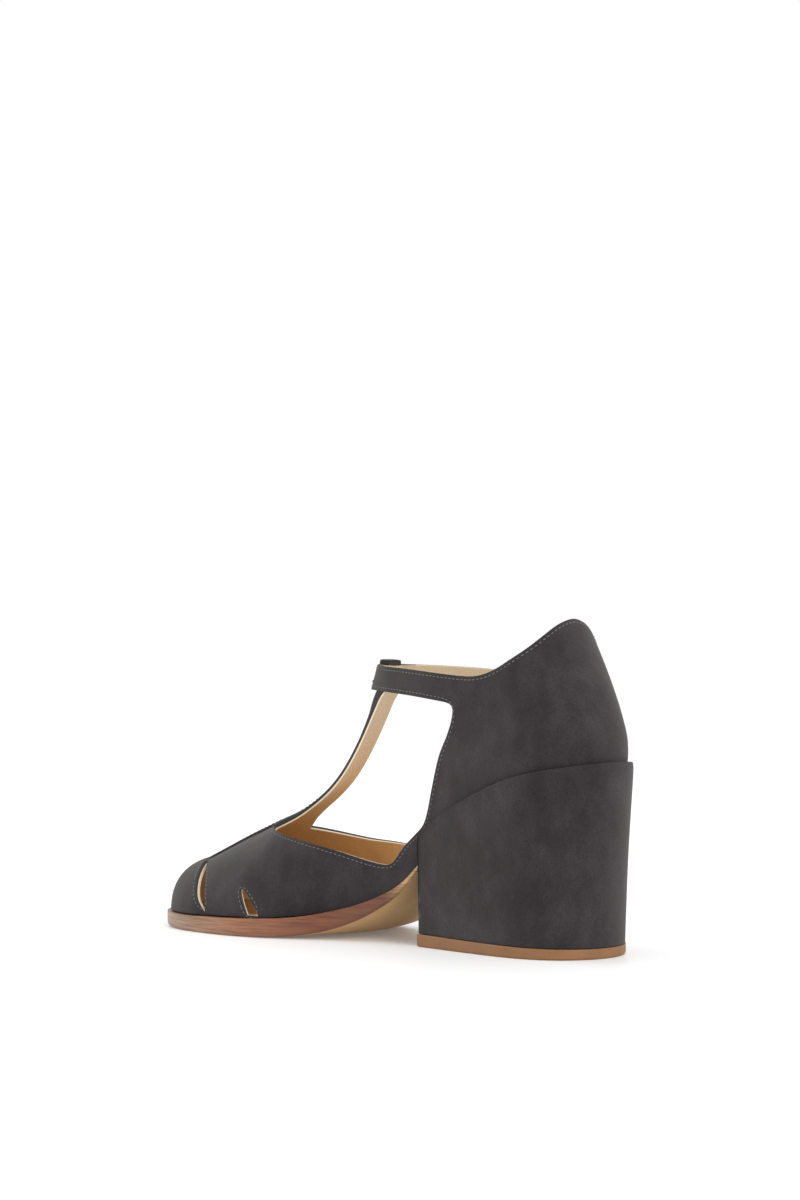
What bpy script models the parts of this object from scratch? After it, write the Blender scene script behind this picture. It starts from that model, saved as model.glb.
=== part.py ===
# T strap shoe, right foot, EU 37, with a 75 mm block heel.
#
# Frame: metres, +Z up, toe toward -Y, medial side (the big toe's side) toward +X.
# The origin is the middle of the top lift's underside, on the floor.
# Every table below is in millimetres. Stations are measured forward from the back
# of the heel, and widths to each side of the line from heel to toe.

import math

import bmesh
import bpy
from mathutils import Vector

MM = 0.001
GAP = 0.3                 # clearance between neighbouring pieces
SHOE = "t_strap_shoe"

# Driving sizes
WALL = 1.8                # suede and lining together
OVERLAY = 1.1             # extra thickness of the toe cap and centre strip
LOOP_THICK = 8.2          # T strap, ankle strap and folded end together
LOOP_THICK_TOP = 5.0      # the fold at the strap's upper edge
LOOP_RISE = 0.22          # how far the fold stands over the ankle strap
HEEL_REST = 40.0          # station of the origin
FOOT_LINE = 1.6           # heel-to-toe line, measured from the origin toward +X
LAST_TIP = 229.4          # front of the last
TOE_START = 184.0         # from here forward the toe outline is a superellipse
TOE_POWER = 2.15
SOLE_TIP = 233.8
CAP_LINE = 188.7          # feather station of the slit behind the toe cap
CAP_TOP = 211.0           # where the same line meets the centre strip
CAP_RIDGE = 213.0         # and where it meets the ridge
FIRST_TOP = 225.5         # the same two places on the line over the very tip
FIRST_RIDGE = 220.0
THROAT = 174.5            # where the T strap leaves the vamp
QUARTER_SEAM = 81.0       # the low waist band ends and the quarter rises here
ANKLE_FRONT = 123.4       # front of the ankle strap's opening
ANKLE_HALF = 24.9         # its half width
ANKLE_LEAN = 3.6          # how far it leans back over its height at the front
TUCK = 6.0                # how far inside it the T strap passes at its lower edge
TUCK_TOP = 3.2            # and at its upper edge
ANKLE_WIDE = 62.0         # widest station of the ankle strap
QUARTER_TOP = 60.0        # where the ankle strap leaves the quarter
HEEL_WIDE = 32.0          # widest station of the heel seat
HEEL_POWER = 2.15         # superellipse of the heel's back
ANKLE_POWER = 2.1         # and of the ankle strap, from above
SEAT_BACK = 68.8          # heights at the back: the heel seat,
STRAP_LOW = 99.8          # the ankle strap's lower edge
COLLAR_PEAK = 133.6       # and the collar's peak
BREAST = 83.5             # front face of the heel

# Grid sizes
TOE_ROWS = 10
VAMP_ROWS = 6
WING_CELLS = 10
QUARTER_CELLS = 13
STRAP_CELLS = 4
ANKLE_CELLS = 11

LAST = (
    ("from_heel", "middle", "medial", "lateral", "feather", "ridge", "power"),
    (-1.0, 0.0, 10.0, 10.0, 68.8, 150.0, 2.3),
    (15.0, -0.6, 22.0, 23.0, 65.6, 150.0, 2.3),
    (32.0, -1.3, 23.8, 26.2, 60.6, 150.0, 2.3),
    (60.0, -2.4, 20.8, 25.2, 49.5, 150.0, 2.3),
    (80.0, -3.2, 16.8, 23.0, 37.7, 150.0, 2.3),
    (92.0, -3.6, 15.4, 22.6, 27.2, 145.0, 2.3),
    (100.0, -3.8, 15.0, 23.2, 22.3, 135.0, 2.2),
    (113.0, -4.0, 16.4, 26.2, 16.6, 117.0, 2.0),
    (119.0, -4.0, 17.9, 28.3, 14.7, 104.4, 1.9),
    (125.0, -4.0, 19.6, 30.4, 13.1, 93.4, 1.8),
    (134.0, -4.0, 23.8, 33.6, 11.0, 78.4, 1.65),
    (143.0, -3.9, 28.4, 36.2, 9.6, 66.6, 1.55),
    (152.0, -3.8, 32.4, 37.6, 8.8, 58.8, 1.6),
    (160.0, -3.7, 34.8, 37.7, 8.4, 53.8, 1.65),
    (173.0, -3.4, 36.2, 36.8, 8.0, 46.4, 1.7),
    (188.0, -2.7, 35.0, 34.0, 7.6, 39.8, 1.75),
    (202.5, -1.8, 31.4, 29.6, 7.3, 32.6, 1.9),
    (211.0, -1.2, 27.0, 26.0, 7.3, 28.4, 2.1),
    (218.0, -0.7, 23.0, 22.0, 7.3, 26.2, 2.25),
    (224.0, -0.3, 16.0, 16.0, 7.3, 23.2, 2.3),
    (227.4, -0.1, 9.0, 9.0, 7.3, 18.4, 2.3),
    (228.8, 0.0, 3.0, 3.0, 7.3, 13.6, 2.3),
    (229.4, 0.0, 0.0, 0.0, 7.3, 7.3, 2.3),
)

WING_EDGE = (
    ("from_heel", "medial", "lateral"),
    (81.0, 49.4, 49.4),
    (85.0, 46.8, 46.8),
    (89.0, 43.6, 43.6),
    (92.5, 41.0, 41.0),
    (96.0, 37.2, 37.2),
    (100.0, 32.2, 32.2),
    (106.0, 32.2, 32.2),
    (117.0, 34.4, 34.0),
    (128.0, 37.0, 36.2),
    (140.0, 39.0, 37.2),
    (152.0, 40.6, 37.8),
    (162.0, 41.7, 39.6),
    (174.5, 43.0, 42.6),
)

QUARTER_FRONT = (
    ("rise", "from_heel"),
    (0.20, 81.0),
    (0.28, 77.4),
    (0.38, 75.2),
    (0.49, 72.4),
    (0.62, 69.2),
    (0.73, 64.9),
    (0.84, 61.6),
    (1.0, 60.0),
)

HEEL_BACK = (
    ("height", "from_heel"),
    (68.8, 0.0),
    (73.0, -0.5),
    (79.0, -0.8),
    (86.0, -0.4),
    (94.0, 1.6),
    (103.0, 5.4),
    (113.0, 9.8),
    (122.0, 14.4),
    (134.0, 20.4),
)

COLLAR = (
    ("along", "height"),
    (0.0, 111.2),
    (0.16, 110.8),
    (0.32, 112.6),
    (0.45, 116.0),
    (0.60, 121.4),
    (0.75, 127.6),
    (0.88, 132.0),
    (1.0, 133.6),
)

ANKLE_STRAP = (
    ("from_heel", "bottom", "top"),
    (0.0, 99.8, 110.8),
    (60.0, 99.8, 111.2),
    (72.0, 101.2, 112.2),
    (90.0, 103.0, 113.6),
    (108.0, 104.0, 114.4),
    (122.0, 104.4, 114.8),
)

CENTRE_STRIP = (
    ("from_heel", "half_width"),
    (120.0, 4.6),
    (126.0, 4.7),
    (150.0, 4.7),
    (160.0, 5.0),
    (167.0, 6.2),
    (171.0, 8.2),
    (174.5, 10.7),
    (190.0, 11.4),
    (204.0, 12.4),
    (226.0, 13.0),
)

STRAP_LAYERS = (
    ("from_heel", "extra"),
    (120.6, 1.7),
    (122.8, 1.0),
    (125.0, 0.4),
    (130.5, 0.0),
)

STRAP_CROWN = (
    ("from_heel", "drop"),
    (121.0, 0.6),
    (150.0, 1.0),
    (165.0, 1.7),
    (177.0, 2.4),
)

OUTSOLE = (
    ("from_heel", "medial", "lateral", "edge", "belly"),
    (85.0, 18.6, 24.8, 2.0, 2.0),
    (91.0, 17.7, 24.5, 2.2, 3.8),
    (97.0, 17.6, 25.0, 3.4, 5.8),
    (107.0, 19.6, 27.6, 5.0, 7.8),
    (116.0, 22.0, 31.0, 6.3, 9.4),
    (125.0, 25.0, 34.6, 7.4, 10.4),
    (134.0, 28.8, 38.0, 7.9, 9.8),
    (141.0, 32.0, 39.9, 8.0, 8.4),
    (148.0, 35.4, 41.4, 8.1, 8.3),
    (158.0, 38.8, 42.2, 8.0, 8.0),
    (170.0, 40.4, 41.4, 8.0, 8.0),
    (184.0, 39.8, 39.2, 7.4, 7.4),
    (205.0, 34.6, 34.0, 6.6, 6.6),
    (220.0, 26.0, 26.0, 6.2, 6.2),
    (233.8, 0.0, 0.0, 5.1, 5.1),
)

HEEL_PLAN = (
    ("height", "back", "medial", "lateral", "breast_half"),
    (0.0, 0.0, 27.6, 29.8, 22.2),
    (40.0, -1.8, 28.6, 30.8, 22.8),
    (62.0, -3.4, 29.6, 31.8, 23.4),
    (78.0, -4.6, 30.4, 32.6, 23.8),
)

HEEL_TOP = 78.0           # the last height in the table

HEEL_RIM = (
    ("from_heel", "height"),
    (-4.6, 77.6),
    (4.0, 76.2),
    (15.0, 74.2),
    (30.0, 70.6),
    (45.0, 65.2),
    (58.0, 59.8),
    (75.0, 51.6),
    (83.5, 45.4),
)

RIM_ROUND = 1.4
RECESS_GAP = 0.6          # between the upper and the heel's rim
SEAT_SOLE = 2.0           # thickness of the sole where the heel carries it
LIFT_BACK = 4.2
LIFT_FRONT = 5.2
LIFT_LIP = 0.4
INSOLE_THICK = 1.2
SOLE_UNDER_UPPER = 0.6


def column(table, name):
    """The first column of a table, and the named one."""
    k = table[0].index(name)
    return [row[0] for row in table[1:]], [row[k] for row in table[1:]]


def smooth(table, name, at):
    """A named column read at any place, as a smooth curve that never overshoots."""
    xs, ys = column(table, name)
    if at <= xs[0]:
        return ys[0]
    if at >= xs[-1]:
        return ys[-1]
    i = max(k for k in range(len(xs) - 1) if xs[k] <= at)
    steps = [(ys[k + 1] - ys[k]) / (xs[k + 1] - xs[k]) for k in range(len(xs) - 1)]

    def slope(k):
        before = steps[max(0, k - 1)]
        after = steps[min(len(steps) - 1, k)]
        if before * after <= 0:
            return 0.0
        return 2 * before * after / (before + after)

    span = xs[i + 1] - xs[i]
    u = (at - xs[i]) / span
    rise = ys[i] + (ys[i + 1] - ys[i]) * u * u * (3 - 2 * u)
    return rise + span * u * (1 - u) * (slope(i) * (1 - u) - slope(i + 1) * u)


def mix(a, b, t):
    return a + (b - a) * t


def ease(t):
    t = min(1.0, max(0.0, t))
    return t * t * (3 - 2 * t)


def place(x, station, z):
    """Shoe sizes in millimetres to a point in the frame."""
    return Vector(((x + FOOT_LINE) * MM, (HEEL_REST - station) * MM, z * MM))


# The last: sections from the feather line up to the ridge

def side_name(side):
    return "medial" if side > 0 else "lateral"


def feather_half(station, side):
    """Half width of the last's bottom from the heel-to-toe line."""
    if station <= TOE_START:
        return smooth(LAST, side_name(side), station)
    wide = smooth(LAST, side_name(side), TOE_START)
    reach = min(1.0, (station - TOE_START) / (LAST_TIP - TOE_START))
    return wide * (1 - reach ** TOE_POWER) ** (1 / TOE_POWER)


def section_height(x, station):
    """Height of the last over a place x from the heel-to-toe line."""
    middle = smooth(LAST, "middle", station)
    side = 1 if x >= middle else -1
    reach = abs(side * feather_half(station, side) - middle)
    share = min(1.0, abs(x - middle) / max(reach, 1e-6))
    power = smooth(LAST, "power", station)
    low = smooth(LAST, "feather", station)
    high = smooth(LAST, "ridge", station)
    return low + (high - low) * (1 - share ** power) ** (1 / power)


def section_x(station, height, side):
    """Where the last reaches a height on one side of a station."""
    middle = smooth(LAST, "middle", station)
    low = smooth(LAST, "feather", station)
    high = smooth(LAST, "ridge", station)
    power = smooth(LAST, "power", station)
    rise = min(1.0, max(0.0, (height - low) / (high - low)))
    reach = side * feather_half(station, side) - middle
    return middle + reach * (1 - rise ** power) ** (1 / power)


def last_path(foot, end, side, cells):
    """Points at even steps over the last, from feather station foot straight in
    plan to the place end, given as (x, station)."""
    start = (side * feather_half(foot, side), foot)
    line = []
    samples = 60
    for k in range(samples + 1):
        share = 1 - math.cos(math.pi / 2 * k / samples) ** 1.6
        x = mix(start[0], end[0], share)
        station = mix(start[1], end[1], share)
        line.append((x, station, section_height(x, station)))
    line[0] = (*start, smooth(LAST, "feather", foot))
    row = [place(*line[0])]
    for k in range(cells):
        row.append(place(*along(line, mix(FEATHER_BAND, 1.0, k / (cells - 1)))))
    return row


# The ankle: level lines from the heel seat up to the collar

def strap_bottom(station):
    return smooth(ANKLE_STRAP, "bottom", station)


def ankle_half(station):
    """Half width of the opening at the ankle strap's level."""
    if station <= ANKLE_WIDE:
        return ANKLE_HALF
    reach = min(1.0, (station - ANKLE_WIDE) / (ANKLE_FRONT - ANKLE_WIDE))
    return ANKLE_HALF * (1 - reach ** ANKLE_POWER) ** (1 / ANKLE_POWER)


def quarter_half(station, rise, side):
    """Half width of the quarter about the middle line. rise is 0 at the feather,
    1 at the ankle strap's lower edge and more above it."""
    middle = smooth(LAST, "middle", station)
    low = smooth(LAST, side_name(side), station) - side * middle
    cup = 2.2 * math.sin(math.pi * min(1.0, rise)) ** 2 * ease((76 - station) / 40)
    return mix(low, ankle_half(station), ease(rise)) + cup - 0.6 * max(0.0, rise - 1)


def level_line(rise, front, side):
    """The quarter's level line as (x, station) from its front edge to the back."""
    height = mix(SEAT_BACK, STRAP_LOW, rise) if rise <= 1 else mix(STRAP_LOW, COLLAR_PEAK, rise - 1)
    back = smooth(HEEL_BACK, "from_heel", height)
    line = []
    steps = 24
    for k in range(steps):
        station = mix(front, HEEL_WIDE, k / steps)
        line.append((side * quarter_half(station, rise, side), station))
    wide = quarter_half(HEEL_WIDE, rise, side)
    for k in range(steps + 1):
        angle = math.pi / 2 * k / steps
        x = wide * math.cos(angle) ** (2 / HEEL_POWER)
        station = mix(HEEL_WIDE, back, math.sin(angle) ** (2 / HEEL_POWER))
        line.append((side * x, station))
    return line


def along(line, fraction):
    """The point at a fraction of a line's length."""
    lengths = [0.0]
    for a, b in zip(line, line[1:]):
        lengths.append(lengths[-1] + math.dist(a, b))
    want = fraction * lengths[-1]
    for k in range(len(line) - 1):
        if want <= lengths[k + 1] + 1e-9:
            t = (want - lengths[k]) / max(1e-9, lengths[k + 1] - lengths[k])
            return tuple(mix(a, b, t) for a, b in zip(line[k], line[k + 1]))
    return line[-1]


def quarter_point(rise, front, fraction, side):
    x, station = along(level_line(rise, front, side), fraction)
    if rise <= 1:
        z = mix(smooth(LAST, "feather", station), strap_bottom(station), rise)
    else:
        z = mix(strap_bottom(station), smooth(COLLAR, "height", fraction), rise - 1)
    fade = ease(station / 20)
    return place(x + smooth(LAST, "middle", station) * fade, station, z)


def ankle_point(angle, level, side):
    """A point of the ankle strap. angle is 0 at its front, a right angle at its
    widest, and level runs from 0 at the lower edge to 1 at the upper."""
    x = ANKLE_HALF * math.sin(angle) ** (2 / ANKLE_POWER)
    station = mix(ANKLE_WIDE, ANKLE_FRONT, math.cos(angle) ** (2 / ANKLE_POWER))
    station -= ANKLE_LEAN * level * math.cos(angle)
    z = mix(strap_bottom(station), smooth(ANKLE_STRAP, "top", station), level)
    x -= 0.6 * level * math.sin(angle)
    return place(side * x + smooth(LAST, "middle", station), station, z)


# Meshes

def add_grid(mesh, rows):
    """Quads between rows of points."""
    verts = [[mesh.verts.new(point) for point in row] for row in rows]
    for upper, lower in zip(verts, verts[1:]):
        for k in range(len(upper) - 1):
            mesh.faces.new((upper[k], upper[k + 1], lower[k + 1], lower[k]))


def finish_mesh(mesh, name, collection, material, smooth_angle=40):
    bmesh.ops.remove_doubles(mesh, verts=mesh.verts, dist=0.01 * MM)
    bmesh.ops.recalc_face_normals(mesh, faces=mesh.faces)
    data = bpy.data.meshes.new(name)
    mesh.to_mesh(data)
    mesh.free()
    data.shade_smooth()
    data.set_sharp_from_angle(angle=math.radians(smooth_angle))
    data.materials.append(material)
    piece = bpy.data.objects.new(name, data)
    collection.objects.link(piece)
    return piece


def make_material(name, colour, roughness, metallic=0.0):
    material = bpy.data.materials.new(name)
    material.use_nodes = True
    shader = material.node_tree.nodes["Principled BSDF"]
    shader.inputs["Base Color"].default_value = (*colour, 1.0)
    shader.inputs["Roughness"].default_value = roughness
    shader.inputs["Metallic"].default_value = metallic
    return material


# The upper

SLITS = {
    "cap": {"first": 1, "last": WING_CELLS - 1, "forward": 5.8, "back": -0.6, "lean": 0.0},
    "drop": {"first": 1, "last": 4, "forward": 0.8, "back": 5.0, "lean": 7.4},
}
DROP_LINE = 163.4
VAMP_END = 171.5          # last row before the drop-shaped opening
WING_STATIONS = (153.0, 146.0, 138.0, 130.0, 121.0, 112.0, 105.0, 100.0, 96.0, 92.5, 89.0, 85.0, 81.0)
FEATHER_BAND = 0.018      # share of a wing's height that stays whole at the sole
STEP_WIDE = 0.8           # width of the overlay's stepped edge


def slit_shift(slit, j, way):
    """How far a slit's edge lies from its line, forward or back, at column j."""
    reach = (j - slit["first"]) / (slit["last"] - slit["first"])
    if slit is SLITS["cap"]:
        wide = math.sin(math.pi * min(1.0, max(0.0, reach)) ** 0.55)
    else:
        wide = 1 - reach ** 2 if 0 <= reach <= 1 else 0.0
    lean = slit["lean"] * min(max(reach, 0.0), 1.0) * (1 - ease((reach - 1) / 2))
    return lean + slit[way] * wide * (1 if way == "forward" else -1)


def strip_half(station):
    return smooth(CENTRE_STRIP, "half_width", station)


def inner_end(foot, top, side):
    """Where a wing's row ends, as (x, station): on the centre strip's edge before
    the throat, and on the wing's own top edge behind it."""
    if top >= THROAT:
        fan = min(1.0, (FIRST_TOP - top) / (FIRST_TOP - CAP_TOP))
        half = strip_half(top) * math.sin(math.pi / 2 * fan)
        return smooth(LAST, "middle", top) + side * half, top
    return section_x(foot, smooth(WING_EDGE, side_name(side), foot), side), foot


def wing_row(foot, top, side, slit=None, way=None):
    row = last_path(foot, inner_end(foot, top, side), side, WING_CELLS)
    if not slit:
        return row
    shifted = [row[0]]
    for j, point in enumerate(row[1:], start=1):
        before = HEEL_REST - point.y / MM
        station = before + slit_shift(slit, j, way)
        x = point.x / MM - FOOT_LINE
        x *= feather_half(station, side) / feather_half(before, side)
        shifted.append(place(x, station, section_height(x, station)))
    return shifted


def toe_stations():
    """Feather, strip edge and ridge stations of the rows from tip to cap slit."""
    last_reach = (CAP_LINE - TOE_START) / (LAST_TIP - TOE_START)
    last_angle = math.asin(last_reach ** (TOE_POWER / 2))
    rows = []
    for k in range(TOE_ROWS + 1):
        t = k / TOE_ROWS
        angle = mix(math.pi / 2, last_angle, t)
        foot = mix(TOE_START, LAST_TIP, math.sin(angle) ** (2 / TOE_POWER))
        rows.append((foot, mix(FIRST_TOP, CAP_TOP, t), mix(FIRST_RIDGE, CAP_RIDGE, t)))
    return rows


def vamp_stations():
    """The same between the cap's slit and the throat."""
    rows = []
    for k in range(1, VAMP_ROWS + 1):
        t = k / VAMP_ROWS
        foot = mix(CAP_LINE, THROAT, t)
        rows.append((foot, mix(CAP_TOP, THROAT, t), mix(CAP_RIDGE, THROAT, t)))
    return rows


def wing_panels(side):
    """The toe cap's side, the wing and the waist band, as three grids."""
    cap = [wing_row(foot, top, side) for foot, top, _ in toe_stations()[:-1]]
    cap.append(wing_row(CAP_LINE, CAP_TOP, side, SLITS["cap"], "forward"))
    wing = [wing_row(CAP_LINE, CAP_TOP, side, SLITS["cap"], "back")]
    wing += [wing_row(foot, top, side) for foot, top, _ in vamp_stations()]
    wing.append(wing_row(VAMP_END, VAMP_END, side))
    wing.append(wing_row(DROP_LINE, DROP_LINE, side, SLITS["drop"], "forward"))
    band = [wing_row(DROP_LINE, DROP_LINE, side, SLITS["drop"], "back")]
    band += [wing_row(foot, foot, side) for foot in WING_STATIONS]
    return cap, wing, band


def strip_offsets(half):
    return (half, half - STEP_WIDE, half * 0.45, 0.0)


def strip_rows(side):
    """The centre strip on the vamp, from the tip back to the throat."""
    rows = []
    for foot, top, ridge in toe_stations() + vamp_stations():
        edge = inner_end(foot, top, side)
        inner = (smooth(LAST, "middle", ridge), ridge)
        half = strip_half(top)
        row = []
        for offset in strip_offsets(half):
            share = 1 - offset / half
            x = mix(edge[0], inner[0], share)
            station = mix(edge[1], inner[1], share)
            row.append(place(x, station, section_height(x, station)))
        rows.append(row)
    return rows


STRAP_STATIONS = (173.0, 168.0, 163.0, 158.0, 153.0, 148.0, 143.0, 138.5, 134.0, 130.5, 127.5, 125.0,
                  122.8, 120.6)


def strap_frame(station):
    """Middle of the T strap at a station, and the direction that it faces."""
    slope = (smooth(LAST, "ridge", station + 1) - smooth(LAST, "ridge", station - 1)) / 2
    facing = Vector((0.0, slope, 1.0)).normalized()
    return place(smooth(LAST, "middle", station), station, smooth(LAST, "ridge", station)), facing


def strap_point(station, offset, side):
    middle, facing = strap_frame(station)
    half = smooth(CENTRE_STRIP, "half_width", station)
    drop = smooth(STRAP_CROWN, "drop", station) * (offset / half) ** 2
    return middle + Vector((side * offset * MM, 0, 0)) - facing * drop * MM


def front_angles():
    """Angles at which the ankle strap meets the T strap's edges and middle."""
    half = smooth(CENTRE_STRIP, "half_width", ANKLE_FRONT)
    return [math.asin((offset / ANKLE_HALF) ** (ANKLE_POWER / 2)) for offset in strip_offsets(half)]


def loop_column(angle, levels, side):
    """A column of the ankle strap where the T strap lines it."""
    points = []
    for level in levels:
        tuck = mix(TUCK, TUCK_TOP, level)
        points.append(ankle_point(angle, level, side) + Vector((0.0, tuck * MM, 0.0)))
    return points


def strap_rows(side):
    """The T strap from the throat up to the ankle strap."""
    rows = [strip_rows(side)[-1]]
    for station in STRAP_STATIONS:
        half = smooth(CENTRE_STRIP, "half_width", station)
        rows.append([strap_point(station, offset, side) for offset in strip_offsets(half)])
    rows.append([loop_column(angle, (0.0,), side)[0] for angle in front_angles()])
    return rows


def ankle_rows(side):
    """The ankle strap from the T strap's middle back to the quarter's corner."""
    levels = [k / STRAP_CELLS for k in range(STRAP_CELLS + 1)]
    rows = [loop_column(angle, levels, side) for angle in reversed(front_angles())]
    start = front_angles()[0]
    rows.append([ankle_point(start + 0.035, level, side) for level in levels])
    for k in range(1, ANKLE_CELLS + 1):
        angle = mix(start, math.pi / 2, (k / ANKLE_CELLS) ** 0.8)
        rows.append([ankle_point(angle, level, side) for level in levels])
    corner = [quarter_point(1 + k / STRAP_CELLS, QUARTER_TOP, 0.0, side) for k in range(STRAP_CELLS + 1)]
    rows[-1] = corner
    return rows


def quarter_rows(side):
    """The quarter from the feather line up to the collar."""
    rows = []
    fronts = column(QUARTER_FRONT, "from_heel")
    upper = len(fronts[0]) - 1
    first_column = wing_row(QUARTER_SEAM, QUARTER_SEAM, side)
    for r in range(WING_CELLS + upper + 1):
        if r <= WING_CELLS:
            rise_front = 0.20 * r / WING_CELLS
            front = QUARTER_SEAM
        else:
            rise_front = fronts[0][r - WING_CELLS]
            front = fronts[1][r - WING_CELLS]
        rise_back = (r / (WING_CELLS + upper)) ** 0.85
        row = []
        for q in range(QUARTER_CELLS + 1):
            fraction = q / QUARTER_CELLS
            rise = mix(rise_front, rise_back, ease(fraction / 0.6))
            row.append(quarter_point(rise, front, fraction, side))
        if r <= WING_CELLS:
            row[0] = first_column[r]
        rows.append(row)
    for k in range(1, STRAP_CELLS + 1):
        rise = 1 + k / STRAP_CELLS
        rows.append([quarter_point(rise, QUARTER_TOP, q / QUARTER_CELLS, side)
                     for q in range(QUARTER_CELLS + 1)])
    return rows


def loop_rows(side):
    """The T strap's end, folded over the ankle strap and standing just above it."""
    rows = []
    levels = [1 + LOOP_RISE * k / 2 for k in range(3)]
    for angle in reversed(front_angles()[1:]):
        rows.append(loop_column(angle, levels, side))
    return rows


def overlay_thickness(point):
    """Wall over the last where the toe cap, centre strip and T strap lie on it."""
    station = HEEL_REST - point.y / MM
    folded = smooth(STRAP_LAYERS, "extra", station)
    return mix(WALL, WALL + OVERLAY, ease((station - 160) / 16)) + folded


def key(point):
    """A point to a hundredth of a millimetre, to find it again in the mesh."""
    return tuple(round(c / MM, 2) for c in point)


def make_upper(collection, material):
    mesh = bmesh.new()
    thick_at = {}
    for side in (1, -1):
        cap, wing, band = wing_panels(side)
        under_drop = [wing[-1][:2], band[0][:2]]
        for panel in (cap, wing, band, under_drop):
            add_grid(mesh, panel)
        for row in cap[:-1]:
            thick_at.update({key(point): WALL + OVERLAY for point in row})
        thick_at.update({key(point): WALL + OVERLAY for point in cap[-1][2:-2]})
        for rows in (strip_rows(side), strap_rows(side)):
            add_grid(mesh, rows)
            for row in rows:
                thick_at.update({key(point): overlay_thickness(point) for point in row[1:]})
        for row in strap_rows(side)[1:]:
            thick_at[key(row[0])] = WALL + smooth(STRAP_LAYERS, "extra", HEEL_REST - row[0].y / MM)
        strap = ankle_rows(side)
        for rows in (strap, quarter_rows(side), loop_rows(side)):
            add_grid(mesh, rows)
        low, high = strap[0][0].z, strap[0][-1].z
        for row in strap[:3] + loop_rows(side):
            for point in row:
                level = min(1.0, (point.z - low) / (high - low))
                thick_at[key(point)] = mix(LOOP_THICK, LOOP_THICK_TOP, level)
    upper = finish_mesh(mesh, "upper", collection, material)
    group = upper.vertex_groups.new(name="thickness")
    for vert in upper.data.vertices:
        group.add([vert.index], thick_at.get(key(vert.co), WALL) / LOOP_THICK, "REPLACE")
    wall = upper.modifiers.new("wall", "SOLIDIFY")
    wall.thickness = LOOP_THICK * MM
    wall.offset = 1.0
    wall.vertex_group = group.name
    wall.use_even_offset = True
    wall.use_quality_normals = True
    return upper


# Sole, insole, heel and lift

def sole_half(station, side):
    """Half width of the outsole."""
    if station >= TOE_START:
        wide = smooth(OUTSOLE, side_name(side), TOE_START)
        reach = min(1.0, (station - TOE_START) / (SOLE_TIP - TOE_START))
        return wide * (1 - reach ** TOE_POWER) ** (1 / TOE_POWER)
    return smooth(OUTSOLE, side_name(side), station)


def seat_outline(offset, stations):
    """Heel seat outline outside the last by an offset, as rows from the back."""
    rows = []
    for angle_step in range(9):
        angle = math.pi / 2 * angle_step / 8
        pair = []
        for side in (1, -1):
            wide = quarter_half(HEEL_WIDE, 0.0, side) + offset
            back = smooth(HEEL_BACK, "from_heel", SEAT_BACK) - offset
            x = side * wide * math.sin(angle) ** (2 / HEEL_POWER)
            station = mix(HEEL_WIDE, back, math.cos(angle) ** (2 / HEEL_POWER))
            pair.append(x + smooth(LAST, "middle", station) * ease(station / 20))
        rows.append((station, pair[0], pair[1]))
    for station in stations:
        pair = [smooth(LAST, "middle", station) + side * (quarter_half(station, 0.0, side) + offset)
                for side in (1, -1)]
        rows.append((station, pair[0], pair[1]))
    return rows


ACROSS = (0.0, 0.12, 0.32, 0.5, 0.68, 0.88, 1.0)
SEAT_STATIONS = (42.0, 52.0, 62.0, 72.0, 80.0)


def sole_rows():
    """Stations of the outsole with its medial and lateral edges and thicknesses."""
    rows = []
    for station, medial, lateral in seat_outline(WALL - 0.1, SEAT_STATIONS):
        rows.append((station, medial, lateral, SEAT_SOLE, SEAT_SOLE))
    toe = [mix(TOE_START, SOLE_TIP, math.sin(math.pi / 2 * k / 11) ** (2 / TOE_POWER)) for k in range(12)]
    for station in (85.0, 91.0, 98.0, 105.0, 112.0, 119.0, 127.0, 135.0, 143.0, 152.0, 162.0, 173.0):
        rows.append((station, sole_half(station, 1), -sole_half(station, -1),
                     smooth(OUTSOLE, "edge", station), smooth(OUTSOLE, "belly", station)))
    for station in toe:
        rows.append((station, sole_half(station, 1), -sole_half(station, -1),
                     smooth(OUTSOLE, "edge", station), smooth(OUTSOLE, "belly", station)))
    return rows


def sole_top(station):
    return smooth(LAST, "feather", station) - SOLE_UNDER_UPPER


def make_outsole(collection, material):
    mesh = bmesh.new()
    top, bottom, edges = [], [], {1: [], -1: []}
    for station, medial, lateral, edge, belly in sole_rows():
        high = sole_top(station)
        bevel = min(0.8, abs(medial - lateral) / 6)
        top.append([place(mix(medial, lateral, t), station, high) for t in ACROSS])
        row = []
        for t in ACROSS:
            deep = mix(edge, belly, math.sin(math.pi * t) ** 0.7 if 0 < t < 1 else 0.0)
            x = mix(medial - bevel, lateral + bevel, t)
            row.append(place(x, station, max(0.0, high - deep)))
        bottom.append(row)
        for side, x, under in ((1, medial, row[0]), (-1, lateral, row[-1])):
            low = place(x, station, high - edge + min(0.8, edge / 3))
            edges[side].append([place(x, station, high), low, under])
    add_grid(mesh, top)
    add_grid(mesh, bottom)
    add_grid(mesh, edges[1])
    add_grid(mesh, edges[-1])
    return finish_mesh(mesh, "outsole", collection, material, 50)


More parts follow.
